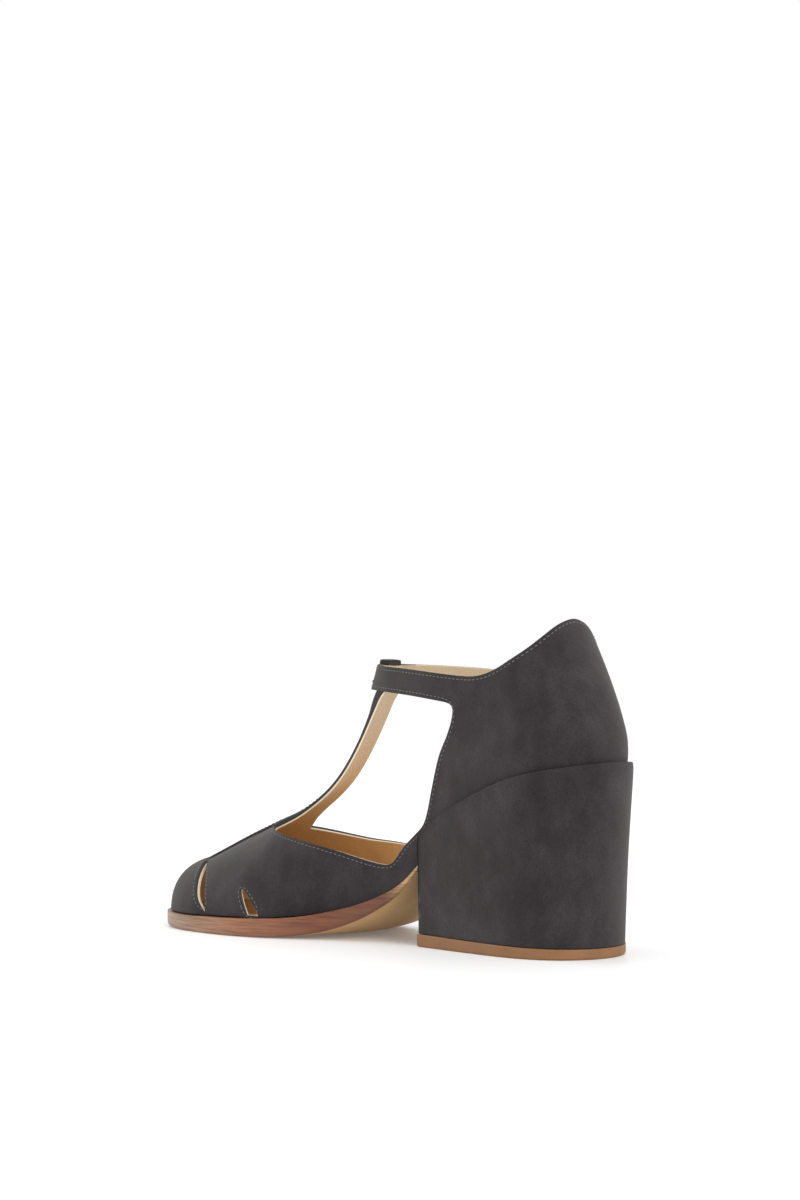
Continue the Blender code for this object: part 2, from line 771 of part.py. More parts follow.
def make_insole(collection, material):
    mesh = bmesh.new()
    rows = [(s, m, l) for s, m, l in seat_outline(-0.5, SEAT_STATIONS)]
    tip = LAST_TIP - 0.6
    for station in (88.0, 96.0, 104.0, 112.0, 120.0, 128.0, 136.0, 145.0, 155.0, 165.0, 175.0):
        rows.append((station, feather_half(station, 1) - 0.5, -feather_half(station, -1) + 0.5))
    for k in range(12):
        station = mix(TOE_START, tip, math.sin(math.pi / 2 * k / 11) ** (2 / TOE_POWER))
        reach = (station - TOE_START) / (tip - TOE_START)
        share = max(0.0, 1 - reach ** TOE_POWER) ** (1 / TOE_POWER)
        rows.append((station, (feather_half(TOE_START, 1) - 0.5) * share,
                     -(feather_half(TOE_START, -1) - 0.5) * share))
    faces = {}
    for level, lift in (("low", GAP), ("high", GAP + INSOLE_THICK)):
        faces[level] = [[place(mix(m, l, t), s, sole_top(s) + lift) for t in ACROSS] for s, m, l in rows]
        add_grid(mesh, faces[level])
    for end in (0, -1):
        add_grid(mesh, [[low[end], high[end]] for low, high in zip(faces["low"], faces["high"])])
    return finish_mesh(mesh, "insole", collection, material, 50)


def heel_outline(height, outset=0.0, breast=BREAST):
    """The heel's D outline at a height, from the medial breast corner round the
    back to the lateral one, as (x, station)."""
    back = smooth(HEEL_PLAN, "back", height) - outset
    line = []
    for side in (1, -1):
        wide = smooth(HEEL_PLAN, side_name(side), height) + outset
        narrow = smooth(HEEL_PLAN, "breast_half", height) + outset
        half_line = []
        for station in (breast, 76.0, 68.0, 60.0, 52.0, 44.0, 37.0):
            t = ease((station - 30.0) / (breast - 30.0) * 0.62) / ease(0.62)
            half_line.append((side * mix(wide, narrow, t), station))
        for k in range(10):
            angle = math.pi / 2 * k / 9
            x = wide * math.cos(angle) ** (2 / 2.0)
            station = mix(30.0, back, math.sin(angle) ** (2 / 2.0))
            half_line.append((side * x, station))
        if side < 0:
            half_line = list(reversed(half_line))[1:]
        line += half_line
    return [(x + smooth(LAST, "middle", max(0.0, s)) * ease(s / 20), s) for x, s in line]


def recess_outline(share):
    """The upper's outer outline with its clearance, from the medial breast corner
    round the back to the lateral one, at a share of the height from the feather
    line up to the heel's rim."""
    offset = WALL + RECESS_GAP
    back_rise = rim_rise(0.0) * share
    back = smooth(HEEL_BACK, "from_heel", mix(SEAT_BACK, STRAP_LOW, back_rise)) - offset
    line = []
    for side in (1, -1):
        half_line = []
        for station in (BREAST, 76.0, 68.0, 60.0, 52.0, 44.0, 37.0):
            rise = rim_rise(station) * share
            half_line.append((side * (quarter_half(station, rise, side) + offset), station))
        for k in range(10):
            angle = math.pi / 2 * k / 9
            station = mix(HEEL_WIDE, back, math.sin(angle) ** (2 / HEEL_POWER))
            wide = quarter_half(HEEL_WIDE, rim_rise(station) * share, side) + offset
            half_line.append((side * wide * math.cos(angle) ** (2 / HEEL_POWER), station))
        if side < 0:
            half_line = list(reversed(half_line))[1:]
        line += half_line
    return [(x + smooth(LAST, "middle", max(0.0, s)) * ease(s / 20), s) for x, s in line]


def rim_rise(station):
    """The heel's rim as a rise over the feather line, in the quarter's own measure."""
    low = smooth(LAST, "feather", station)
    return (smooth(HEEL_RIM, "height", station) - low) / (strap_bottom(station) - low)


def lift_top(station):
    return mix(LIFT_BACK, LIFT_FRONT, station / BREAST)


def make_heel(collection, material):
    """The block: outer wall, rim, recess for the upper, seat and breast face."""
    mesh = bmesh.new()
    levels = 7
    columns = []
    outlines = [heel_outline(HEEL_TOP * k / levels) for k in range(levels + 1)]
    seat_line = recess_outline(0.0)
    wall_line = recess_outline(0.5)
    rim_line = recess_outline(1.0)
    for p in range(len(seat_line)):
        station_top = outlines[-1][p][1]
        rim = smooth(HEEL_RIM, "height", station_top)
        low = lift_top(outlines[0][p][1]) + GAP
        column_points = []
        for k in range(levels + 1):
            z = mix(low, rim - RIM_ROUND, k / levels)
            x, station = along_height(outlines, p, z)
            column_points.append(place(x, station, z))
        x, station = outlines[-1][p]
        inner_x, inner_station = rim_line[p]
        column_points.append(place(mix(x, inner_x, 0.35), mix(station, inner_station, 0.35), rim))
        column_points.append(place(inner_x, inner_station, rim - 0.3))
        seat_x, seat_station = seat_line[p]
        seat = sole_top(seat_station) - SEAT_SOLE - GAP
        wall_x, wall_station = wall_line[p]
        wall_height = mix(smooth(LAST, "feather", wall_station), rim, 0.5)
        column_points.append(place(wall_x, wall_station, wall_height))
        column_points.append(place(seat_x, seat_station, seat))
        columns.append(column_points)
    add_grid(mesh, columns)
    half = len(columns) // 2
    floor, base = [], []
    for p in range(half + 1):
        for rows, end in ((floor, -1), (base, 0)):
            medial, lateral = columns[p][end], columns[-1 - p][end]
            rows.append([medial.lerp(lateral, t) for t in (0.0, 0.25, 0.5, 0.75, 1.0)])
    add_grid(mesh, floor)
    add_grid(mesh, base)
    front = columns[0][::-1] + [point for point in base[0][1:-1]] + columns[-1] + floor[0][-2:0:-1]
    mesh.faces.new([mesh.verts.new(point) for point in front])
    return finish_mesh(mesh, "heel", collection, material, 50)


def along_height(outlines, p, z):
    """Column p of the stacked outlines at a height."""
    place_in_stack = min(len(outlines) - 1.001, max(0.0, z / HEEL_TOP * (len(outlines) - 1)))
    k = int(place_in_stack)
    t = place_in_stack - k
    low, high = outlines[k][p], outlines[k + 1][p]
    return mix(low[0], high[0], t), mix(low[1], high[1], t)


def make_top_lift(collection, material):
    mesh = bmesh.new()
    outline = heel_outline(0.0, LIFT_LIP, BREAST + 0.8)
    inner = heel_outline(0.0, LIFT_LIP - 0.6, BREAST + 0.2)
    columns = []
    for (x, station), (bx, bs) in zip(outline, inner):
        columns.append([place(bx, bs, 0.0), place(x, station, 0.7), place(x, station, lift_top(station))])
    add_grid(mesh, columns)
    front = columns[0][::-1] + columns[-1]
    mesh.faces.new([mesh.verts.new(point) for point in front])
    for end in (0, -1):
        mesh.faces.new([mesh.verts.new(points[end]) for points in columns])
    return finish_mesh(mesh, "top_lift", collection, material, 30)


# Buckle and strap end on the lateral side of the ankle strap

BUCKLE_STATION = 71.0
BUCKLE_LONG = 15.0
BUCKLE_HIGH = 14.4
BUCKLE_WIRE = 2.0
STRAP_END_LONG = 44.0
STRAP_END_WIDE = 9.4
STRAP_END_THICK = 1.5


def strap_frame_at(station):
    """Outer face of the ankle strap on the lateral side: a point at mid height,
    the direction that it faces and the direction forward along it."""
    def at(s):
        x = smooth(LAST, "middle", s) - ankle_half(s)
        z = (strap_bottom(s) + smooth(ANKLE_STRAP, "top", s)) / 2
        return place(x, s, z)
    forward = (at(station + 1) - at(station - 1)).normalized()
    facing = forward.cross(Vector((0, 0, 1))).normalized()
    if facing.x > 0:
        facing = -facing
    return at(station) + facing * WALL * MM, facing, forward


def make_strap_end(collection, material):
    """The loose end of the ankle strap, lying on it, with a round tip."""
    mesh = bmesh.new()
    steps = 14
    inner, outer = [], []
    start = BUCKLE_STATION + 12.0
    for k in range(steps + 1):
        station = start - STRAP_END_LONG * k / steps
        centre, facing, _ = strap_frame_at(station)
        left = STRAP_END_LONG * (steps - k) / steps
        half = STRAP_END_WIDE / 2
        if left < half:
            half = math.sqrt(max(0.05, half ** 2 - (half - left) ** 2))
        rows = []
        for v in (-1.0, 0.0, 1.0):
            rows.append(centre + Vector((0, 0, v * half * MM)))
        inner.append([point + facing * 0.45 * MM for point in rows])
        outer.append([point + facing * (0.45 + STRAP_END_THICK) * MM for point in rows])
    add_grid(mesh, inner)
    add_grid(mesh, outer)
    for v in (0, -1):
        add_grid(mesh, [[a[v], b[v]] for a, b in zip(inner, outer)])
    for k in (0, -1):
        add_grid(mesh, [inner[k], outer[k]])
    return finish_mesh(mesh, "strap_end", collection, material, 40)


def make_buckle(collection, material):
    """A plain frame with its prong, lying flat over the strap end."""
    centre, facing, forward = strap_frame_at(BUCKLE_STATION)
    up = facing.cross(forward)
    if up.z < 0:
        up = -up
    lift = 0.45 + STRAP_END_THICK + 0.45 + BUCKLE_WIRE / 2
    middle = centre + facing * lift * MM
    mesh = bmesh.new()
    rounds = 20
    sides = 8
    rings = []
    for k in range(rounds):
        angle = 2 * math.pi * k / rounds
        shape = 0.42
        u = math.copysign(abs(math.cos(angle)) ** shape, math.cos(angle)) * BUCKLE_LONG / 2
        v = math.copysign(abs(math.sin(angle)) ** shape, math.sin(angle)) * BUCKLE_HIGH / 2
        rings.append((u, v))
    loops = []
    for k in range(rounds):
        before, here, after = rings[k - 1], rings[k], rings[(k + 1) % rounds]
        run = Vector((after[0] - before[0], after[1] - before[1])).normalized()
        out = forward * run.y - up * run.x
        spot = middle + (forward * here[0] + up * here[1]) * MM
        loop = []
        for n in range(sides):
            a = 2 * math.pi * n / sides
            loop.append(spot + (out * math.cos(a) + facing * math.sin(a)) * BUCKLE_WIRE / 2 * MM)
        loops.append(loop + [loop[0]])
    add_grid(mesh, loops + [loops[0]])
    frame = finish_mesh(mesh, "buckle_frame", collection, material, 60)

    mesh = bmesh.new()
    length = (BUCKLE_LONG + 1.2) * MM
    bmesh.ops.create_cube(mesh, size=1.0)
    bmesh.ops.scale(mesh, vec=Vector((length, 1.3 * MM, 1.5 * MM)), verts=mesh.verts)
    prong = finish_mesh(mesh, "prong", collection, material, 30)
    turn = Vector((1, 0, 0)).rotation_difference(forward)
    prong.rotation_mode = "QUATERNION"
    prong.rotation_quaternion = turn
    prong.location = middle + facing * 0.75 * MM
    join = frame.modifiers.new("prong", "BOOLEAN")
    join.operation = "UNION"
    join.object = prong
    join.solver = "EXACT"
    prong.hide_render = True
    prong.display_type = "WIRE"
    return frame, prong


def main():
    for thing in list(bpy.data.objects):
        bpy.data.objects.remove(thing, do_unlink=True)
    collection = bpy.data.collections.new(SHOE)
    cutters = bpy.data.collections.new("joined_shapes")
    for group in (collection, cutters):
        bpy.context.scene.collection.children.link(group)
    suede = make_material("charcoal_suede", (0.058, 0.052, 0.051), 0.9)
    tan = make_material("tan_leather", (0.42, 0.25, 0.11), 0.55)
    sole_leather = make_material("sole_leather", (0.36, 0.19, 0.10), 0.5)
    lift_rubber = make_material("tan_lift", (0.28, 0.14, 0.07), 0.6)
    brass = make_material("pale_brass", (0.75, 0.58, 0.34), 0.3, 1.0)
    make_upper(collection, suede)
    make_outsole(collection, sole_leather)
    make_insole(collection, tan)
    make_heel(collection, suede)
    make_top_lift(collection, lift_rubber)
    make_strap_end(collection, suede)
    frame, prong = make_buckle(collection, brass)
    collection.objects.unlink(prong)
    cutters.objects.link(prong)


main()
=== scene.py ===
# %% [markdown]
# # A t strap shoe with a block heel
#
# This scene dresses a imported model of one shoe: charcoal suede over a cream lining, a leather sole and a
# tall heel covered with the same suede. Each step says what a piece is on the real shoe, how it could be
# made in Blender, and why this way was chosen. Sizes are in millimetres in the tables and in metres in the
# scene.

# %% Load the frame
import math

import bmesh
import bpy
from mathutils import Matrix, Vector
from mathutils.bvhtree import BVHTree


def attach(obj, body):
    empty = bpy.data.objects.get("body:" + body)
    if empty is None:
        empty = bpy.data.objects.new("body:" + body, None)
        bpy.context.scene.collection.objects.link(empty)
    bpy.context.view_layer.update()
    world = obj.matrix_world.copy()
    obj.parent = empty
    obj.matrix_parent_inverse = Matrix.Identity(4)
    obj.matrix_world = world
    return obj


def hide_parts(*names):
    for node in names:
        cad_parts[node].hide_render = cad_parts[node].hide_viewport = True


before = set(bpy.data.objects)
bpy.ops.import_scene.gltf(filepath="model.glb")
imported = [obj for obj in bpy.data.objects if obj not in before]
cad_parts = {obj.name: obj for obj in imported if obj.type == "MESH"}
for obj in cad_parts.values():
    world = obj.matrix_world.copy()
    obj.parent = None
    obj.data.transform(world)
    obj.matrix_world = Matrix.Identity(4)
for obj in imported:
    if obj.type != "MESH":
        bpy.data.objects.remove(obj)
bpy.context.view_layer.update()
print("solids in the frame:", ", ".join(sorted(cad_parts)))

# %% [markdown]
# ## The camera
#
# The photograph was taken with a long lens from behind the shoe's inner side, almost at floor level. A lens
# this long keeps the heel and the toe at nearly the same scale. The camera's place came from the heel's
# footprint, the toe and the two edges of the ankle strap, so the pieces can be compared with the photograph
# line by line.

# %% Place the camera
LENS = 85.65              # millimetres on a 36 mm long side
CAMERA_PLACE = (0.9068, 0.7193, 0.1284)
CAMERA_TURN = 131.37      # degrees from looking along +Y
CAMERA_TILT = 0.66        # degrees above level
CAMERA_SHIFT = 0.0116     # sideways shift of the lens, as a share of the frame's long side

lens = bpy.data.cameras.new("photo_camera")
lens.lens = LENS
lens.sensor_width = 36
lens.shift_x = CAMERA_SHIFT
camera = bpy.data.objects.new("photo_camera", lens)
camera.location = CAMERA_PLACE
camera.rotation_euler = (math.radians(90 + CAMERA_TILT), 0, math.radians(CAMERA_TURN))
bpy.context.scene.collection.objects.link(camera)
bpy.context.scene.camera = camera
print("camera distance to the shoe:", round(Vector(CAMERA_PLACE).length, 2), "m")

# %% [markdown]
# ## Floor and light
#
# The shoe stands on a white studio floor under a wide soft light, so its shadow is faint and lies close to
# the sole. A white world gives that even light, and two large area lights add the soft direction that shows
# the suede's nap: one on the toe's side and a slightly stronger one from behind the heel. The floor glows a
# little of its own, so that it stays white and only the contact shadow shows.

# %% Make the floor and the lights
scene = bpy.context.scene
scene.view_settings.view_transform = "Standard"

bpy.ops.mesh.primitive_plane_add(size=14.0)
floor = bpy.context.object
floor.name = "studio_floor"
white = bpy.data.materials.new("studio_white")
white.use_nodes = True
white_sockets = white.node_tree.nodes["Principled BSDF"].inputs
white_sockets["Base Color"].default_value = (0.9, 0.9, 0.9, 1)
white_sockets["Emission Color"].default_value = (1, 1, 1, 1)
white_sockets["Emission Strength"].default_value = 0.10
white_sockets["Roughness"].default_value = 0.45
floor.data.materials.append(white)

world = bpy.data.worlds.new("studio")
world.use_nodes = True
sky = world.node_tree.nodes["Background"].inputs
sky["Color"].default_value = (1, 1, 1, 1)
sky["Strength"].default_value = 1.0
scene.world = world


def add_area_light(name, place, aim, size, power):
    lamp = bpy.data.lights.new(name, "AREA")
    lamp.size = size
    lamp.energy = power
    light = bpy.data.objects.new(name, lamp)
    light.location = place
    light.rotation_euler = (Vector(aim) - Vector(place)).to_track_quat("-Z", "Y").to_euler()
    scene.collection.objects.link(light)


add_area_light("window_over_the_toe", (0.5, -1.7, 1.2), (0, -0.06, 0.05), 1.2, 13)
add_area_light("fill_from_the_heel", (0.5, 1.7, 1.0), (0, 0, 0.06), 1.2, 16)

# %% [markdown]
# ## Finishes
#
# Suede is the brushed inner side of a hide. Its short nap scatters light, so it has almost no gloss, a pale
# bloom at grazing angles, and broad soft patches where the nap lies another way. Smooth lining leather has
# fine pores and a low sheen. The sole's cut edge is stained and waxed, and shows the layers of the leather
# as long streaks. Each finish is built from noise in the shoe's own space, so it stays in place from every
# side, and a small helper makes the noise at a size given in millimetres.

# %% Helpers for the finishes
def start_finish(name, roughness):
    material = bpy.data.materials.new(name)
    material.use_nodes = True
    tree = material.node_tree
    shader = tree.nodes["Principled BSDF"]
    shader.inputs["Roughness"].default_value = roughness
    return material, tree, shader


def grain(tree, size, detail=3.0, stretch=(1, 1, 1)):
    """Noise whose bumps are about size millimetres across."""
    place = tree.nodes.new("ShaderNodeTexCoord")
    scale = tree.nodes.new("ShaderNodeMapping")
    scale.inputs["Scale"].default_value = [1000 / size / s for s in stretch]
    noise = tree.nodes.new("ShaderNodeTexNoise")
    noise.inputs["Scale"].default_value = 1.0
    noise.inputs["Detail"].default_value = detail
    tree.links.new(place.outputs["Object"], scale.inputs["Vector"])
    tree.links.new(scale.outputs["Vector"], noise.inputs["Vector"])
    return noise.outputs["Fac"]


def shades(tree, factor, *stops):
    """Colours spread over a factor: each stop is a place and a linear colour."""
    ramp = tree.nodes.new("ShaderNodeValToRGB")
    ramp.color_ramp.elements[0].position = stops[0][0]
    ramp.color_ramp.elements[1].position = stops[-1][0]
    for place, _ in stops[1:-1]:
        ramp.color_ramp.elements.new(place)
    for element, (_, colour) in zip(ramp.color_ramp.elements, stops):
        element.color = (*colour, 1)
    tree.links.new(factor, ramp.inputs["Fac"])
    return ramp.outputs["Color"]


def blend(tree, a, b, factor, how="MIX"):
    mixer = tree.nodes.new("ShaderNodeMix")
    mixer.data_type = "RGBA"
    mixer.blend_type = how
    mixer.clamp_result = False
    for socket, value in ((mixer.inputs[0], factor), (mixer.inputs[6], a), (mixer.inputs[7], b)):
        if isinstance(value, bpy.types.NodeSocket):
            tree.links.new(value, socket)
        else:
            socket.default_value = value if isinstance(value, float) else (*value, 1)
    return mixer.outputs[2]


def raise_bumps(tree, shader, *layers):
    """Bump nodes in a row: each layer is a height, its strength and its depth in millimetres."""
    normal = None
    for height, strength, depth in layers:
        bump = tree.nodes.new("ShaderNodeBump")
        bump.inputs["Strength"].default_value = strength
        bump.inputs["Distance"].default_value = depth / 1000
        tree.links.new(height, bump.inputs["Height"])
        if normal:
            tree.links.new(normal, bump.inputs["Normal"])
        normal = bump.outputs["Normal"]
    tree.links.new(normal, shader.inputs["Normal"])


print("helpers for noise, colour and bump are ready")

# %% Charcoal suede
def make_suede(name, dark=(0.0205, 0.0168, 0.0180), light=(0.0320, 0.0268, 0.0288)):
    """Brushed patches, shorter strokes, worn spots and the nap's own flecks, from broad to fine."""
    material, tree, shader = start_finish(name, 0.95)
    brushed = shades(tree, grain(tree, 24, 3.0), (0.34, dark), (0.66, light))
    nap = grain(tree, 0.9, 2.0)
    flecks = shades(tree, nap, (0.3, (0.84, 0.84, 0.84)), (0.7, (1.16, 1.15, 1.15)))
    strokes = shades(tree, grain(tree, 9, 2.0, (1, 1, 1.6)), (0.36, (0.84, 0.84, 0.85)),
                     (0.64, (1.20, 1.18, 1.17)))
    worn = shades(tree, grain(tree, 5, 5.0, (1, 1, 2.2)), (0.66, (1.0, 1.0, 1.0)), (0.76, (1.45, 1.40, 1.36)))
    tone = blend(tree, blend(tree, brushed, strokes, 1.0, "MULTIPLY"), worn, 1.0, "MULTIPLY")
    tree.links.new(blend(tree, tone, flecks, 1.0, "MULTIPLY"), shader.inputs["Base Color"])
    raise_bumps(tree, shader, (nap, 0.45, 0.25), (grain(tree, 0.28, 1.0), 0.3, 0.1))
    shader.inputs["Specular IOR Level"].default_value = 0.15
    shader.inputs["Sheen Weight"].default_value = 0.16
    shader.inputs["Sheen Roughness"].default_value = 0.55
    shader.inputs["Sheen Tint"].default_value = (0.9, 0.88, 0.86, 1)
    return material


suede = make_suede("charcoal_suede_nap")
print("suede nodes:", len(suede.node_tree.nodes))

# %% Lining, cut edge and thread
def make_leather(name, low, high, roughness, pores=0.7, streak=(1, 1, 1), coat=0.0):
    material, tree, shader = start_finish(name, roughness)
    tone = shades(tree, grain(tree, 14, 4.0, streak), (0.3, low), (0.7, high))
    skin = grain(tree, pores, 4.0, streak)
    speck = shades(tree, skin, (0.3, (0.9, 0.9, 0.9)), (0.7, (1.06, 1.06, 1.06)))
    tree.links.new(blend(tree, tone, speck, 1.0, "MULTIPLY"), shader.inputs["Base Color"])
    raise_bumps(tree, shader, (skin, 0.3, 0.12))
    shader.inputs["Coat Weight"].default_value = coat
    shader.inputs["Coat Roughness"].default_value = 0.3
    return material


def make_lining():
    """Cream on the straps and deeper golden down in the vamp, where the colour is painted shade and painted
    warm bounce light inside the shoe.
    """
    material, tree, shader = start_finish("cream_lining", 0.5)
    place = tree.nodes.new("ShaderNodeTexCoord")
    split = tree.nodes.new("ShaderNodeSeparateXYZ")
    height = tree.nodes.new("ShaderNodeMapRange")
    height.inputs["From Min"].default_value = 0.036    # inside the vamp
    height.inputs["From Max"].default_value = 0.100    # at the straps
    tree.links.new(place.outputs["Object"], split.inputs[0])
    tree.links.new(split.outputs["Z"], height.inputs["Value"])
    # the low stops paint the shade and the warm bounced light inside the vamp into the lining's colour
    tone = shades(tree, height.outputs["Result"], (0.0, (0.80, 0.50, 0.21)), (0.35, (0.66, 0.42, 0.20)),
                  (1.0, (0.57, 0.44, 0.29)))
    skin = grain(tree, 0.7, 4.0)
    pores = shades(tree, skin, (0.3, (0.9, 0.9, 0.9)), (0.7, (1.06, 1.06, 1.06)))
    tree.links.new(blend(tree, tone, pores, 1.0, "MULTIPLY"), shader.inputs["Base Color"])
    raise_bumps(tree, shader, (skin, 0.3, 0.12))
    return material


lining = make_lining()
sock = make_leather("tan_sock", (0.42, 0.25, 0.12), (0.50, 0.31, 0.16), 0.5)


PALE_EDGE = 0.72          # millimetres of pale lining in the cut edge, before the dark suede


def make_edge():
    """The wall's cut edge: pale lining leather inside, suede outside."""
    material, tree, shader = start_finish("wall_edge", 0.7)
    depth = tree.nodes.new("ShaderNodeAttribute")
    depth.attribute_name = "depth"
    layers = shades(tree, depth.outputs["Fac"], (0.0, (0.80, 0.69, 0.50)),
                    (PALE_EDGE - 0.08, (0.86, 0.77, 0.58)),
                    (PALE_EDGE, (0.030, 0.026, 0.027)), (1.0, (0.034, 0.030, 0.031)))
    tree.links.new(layers, shader.inputs["Base Color"])
    raise_bumps(tree, shader, (grain(tree, 0.5, 2.0), 0.3, 0.1))
    return material


wall_edge = make_edge()
thread, tree, shader = start_finish("grey_thread", 0.7)
tree.links.new(shades(tree, grain(tree, 0.4), (0.3, (0.10, 0.095, 0.095)), (0.7, (0.17, 0.165, 0.16))),
               shader.inputs["Base Color"])
print("finishes so far:", [m.name for m in (suede, lining, sock, wall_edge, thread)])

# %% Sole leather, lift and metal
def make_sole_edge():
    """Stained sole edge, paler at the toe, with the leather's layers as long streaks."""
    material, tree, shader = start_finish("waxed_sole_edge", 0.42)
    place = tree.nodes.new("ShaderNodeTexCoord")
    split = tree.nodes.new("ShaderNodeSeparateXYZ")
    along = tree.nodes.new("ShaderNodeMapRange")
    along.inputs["From Min"].default_value = -0.19     # near the toe
    along.inputs["From Max"].default_value = -0.045    # at the heel's front
    tree.links.new(place.outputs["Object"], split.inputs[0])
    tree.links.new(split.outputs["Y"], along.inputs["Value"])
    stain = shades(tree, along.outputs["Result"], (0.0, (0.22, 0.138, 0.088)), (0.22, (0.28, 0.168, 0.100)),
                   (0.42, (0.27, 0.115, 0.056)), (0.65, (0.165, 0.050, 0.018)), (0.88, (0.135, 0.044, 0.018)),
                   (0.95, (0.40, 0.23, 0.10)))
    layers = grain(tree, 1.1, 5.0, (14, 14, 0.6))
    streaks = shades(tree, layers, (0.32, (0.62, 0.58, 0.55)), (0.62, (1.18, 1.18, 1.18)))
    tree.links.new(blend(tree, stain, streaks, 1.0, "MULTIPLY"), shader.inputs["Base Color"])
    raise_bumps(tree, shader, (layers, 0.25, 0.15), (grain(tree, 0.5, 3.0), 0.15, 0.1))
    shader.inputs["Coat Weight"].default_value = 0.06
    shader.inputs["Coat Roughness"].default_value = 0.35
    return material


sole_edge = make_sole_edge()
sole_under = make_leather("natural_underside", (0.43, 0.26, 0.108), (0.52, 0.325, 0.14), 0.5, 0.5, (1, 3, 1))
lift_finish = make_leather("tan_lift_rubber", (0.205, 0.094, 0.034), (0.255, 0.118, 0.043), 0.6, 0.4)
brass, tree, shader = start_finish("pale_brass_polished", 0.24)
shader.inputs["Metallic"].default_value = 1.0
worn = grain(tree, 2.5, 4.0)
tree.links.new(shades(tree, worn, (0.3, (0.66, 0.52, 0.31)), (0.7, (0.80, 0.66, 0.42))),
               shader.inputs["Base Color"])
raise_bumps(tree, shader, (worn, 0.06, 0.05))
print("finishes:", len(bpy.data.materials))

# %% [markdown]
# ## The last
#
# Every part of the shoe is drawn over a last, the wooden foot that a shoe is built on. Here the last is a
# table of stations from the heel's back to the toe. Each row gives the half widths, the feather line where
# the sole meets the upper, the ridge over the instep and the fullness of the section between them. Smooth
# curves through these rows give any point of the foot, so the panels, the sole and the stitches all agree.

# %% Sizes of the shoe
MM = 0.001
GAP = 0.3                 # clearance between neighbouring pieces

WALL = 1.8                # suede and lining together
OVERLAY = 1.1             # extra thickness of the toe cap and centre strip
LOOP_THICK = 8.2          # T strap, ankle strap and folded end together
LOOP_THICK_TOP = 5.0      # the fold at the strap's upper edge
LOOP_RISE = 0.22          # how far the fold stands over the ankle strap
HEEL_REST = 40.0          # station of the origin
FOOT_LINE = 1.6           # heel-to-toe line, measured from the origin toward +X
LAST_TIP = 229.4          # front of the last
TOE_START = 184.0         # from here forward the toe outline is a superellipse
TOE_POWER = 2.15
SOLE_TIP = 233.8
CAP_LINE = 188.7          # feather station of the slit behind the toe cap
CAP_TOP = 211.0           # where the same line meets the centre strip
CAP_RIDGE = 213.0         # and where it meets the ridge
FIRST_TOP = 225.5         # the same two places on the line over the very tip
FIRST_RIDGE = 220.0
THROAT = 174.5            # where the T strap leaves the vamp
QUARTER_SEAM = 81.0       # the low waist band ends and the quarter rises here
ANKLE_FRONT = 123.4       # front of the ankle strap's opening
ANKLE_HALF = 24.9         # its half width
ANKLE_LEAN = 3.6          # how far it leans back over its height at the front
TUCK = 6.0                # how far inside it the T strap passes at its lower edge
TUCK_TOP = 3.2            # and at its upper edge
ANKLE_WIDE = 62.0         # widest station of the ankle strap
QUARTER_TOP = 60.0        # where the ankle strap leaves the quarter
HEEL_WIDE = 32.0          # widest station of the heel seat
HEEL_POWER = 2.15         # superellipse of the heel's back
ANKLE_POWER = 2.1         # and of the ankle strap, from above
SEAT_BACK = 68.8          # heights at the back: the heel seat,
STRAP_LOW = 99.8          # the ankle strap's lower edge
COLLAR_PEAK = 133.6       # and the collar's peak
BREAST = 83.5             # front face of the heel

# Grid sizes
TOE_ROWS = 10
VAMP_ROWS = 6
WING_CELLS = 10
QUARTER_CELLS = 13
STRAP_CELLS = 4
ANKLE_CELLS = 11


print("length of the last:", LAST_TIP, "mm")

# %% Tables of the last and the patterns
LAST = (
    ("from_heel", "middle", "medial", "lateral", "feather", "ridge", "power"),
    (-1.0, 0.0, 10.0, 10.0, 68.8, 150.0, 2.3),
    (15.0, -0.6, 22.0, 23.0, 65.6, 150.0, 2.3),
    (32.0, -1.3, 23.8, 26.2, 60.6, 150.0, 2.3),
    (60.0, -2.4, 20.8, 25.2, 49.5, 150.0, 2.3),
    (80.0, -3.2, 16.8, 23.0, 37.7, 150.0, 2.3),
    (92.0, -3.6, 15.4, 22.6, 27.2, 145.0, 2.3),
    (100.0, -3.8, 15.0, 23.2, 22.3, 135.0, 2.2),
    (113.0, -4.0, 16.4, 26.2, 16.6, 117.0, 2.0),
    (119.0, -4.0, 17.9, 28.3, 14.7, 104.4, 1.9),
    (125.0, -4.0, 19.6, 30.4, 13.1, 93.4, 1.8),
    (134.0, -4.0, 23.8, 33.6, 11.0, 78.4, 1.65),
    (143.0, -3.9, 28.4, 36.2, 9.6, 66.6, 1.55),
    (152.0, -3.8, 32.4, 37.6, 8.8, 58.8, 1.6),
    (160.0, -3.7, 34.8, 37.7, 8.4, 53.8, 1.65),
    (173.0, -3.4, 36.2, 36.8, 8.0, 46.4, 1.7),
    (188.0, -2.7, 35.0, 34.0, 7.6, 39.8, 1.75),
    (202.5, -1.8, 31.4, 29.6, 7.3, 32.6, 1.9),
    (211.0, -1.2, 27.0, 26.0, 7.3, 28.4, 2.1),
    (218.0, -0.7, 23.0, 22.0, 7.3, 26.2, 2.25),
    (224.0, -0.3, 16.0, 16.0, 7.3, 23.2, 2.3),
    (227.4, -0.1, 9.0, 9.0, 7.3, 18.4, 2.3),
    (228.8, 0.0, 3.0, 3.0, 7.3, 13.6, 2.3),
    (229.4, 0.0, 0.0, 0.0, 7.3, 7.3, 2.3),
)

WING_EDGE = (
    ("from_heel", "medial", "lateral"),
    (81.0, 49.4, 49.4),
    (85.0, 46.8, 46.8),
    (89.0, 43.6, 43.6),
    (92.5, 41.0, 41.0),
    (96.0, 37.2, 37.2),
    (100.0, 32.2, 32.2),
    (106.0, 32.2, 32.2),
    (117.0, 34.4, 34.0),
    (128.0, 37.0, 36.2),
    (140.0, 39.0, 37.2),
    (152.0, 40.6, 37.8),
    (162.0, 41.7, 39.6),
    (174.5, 43.0, 42.6),
)

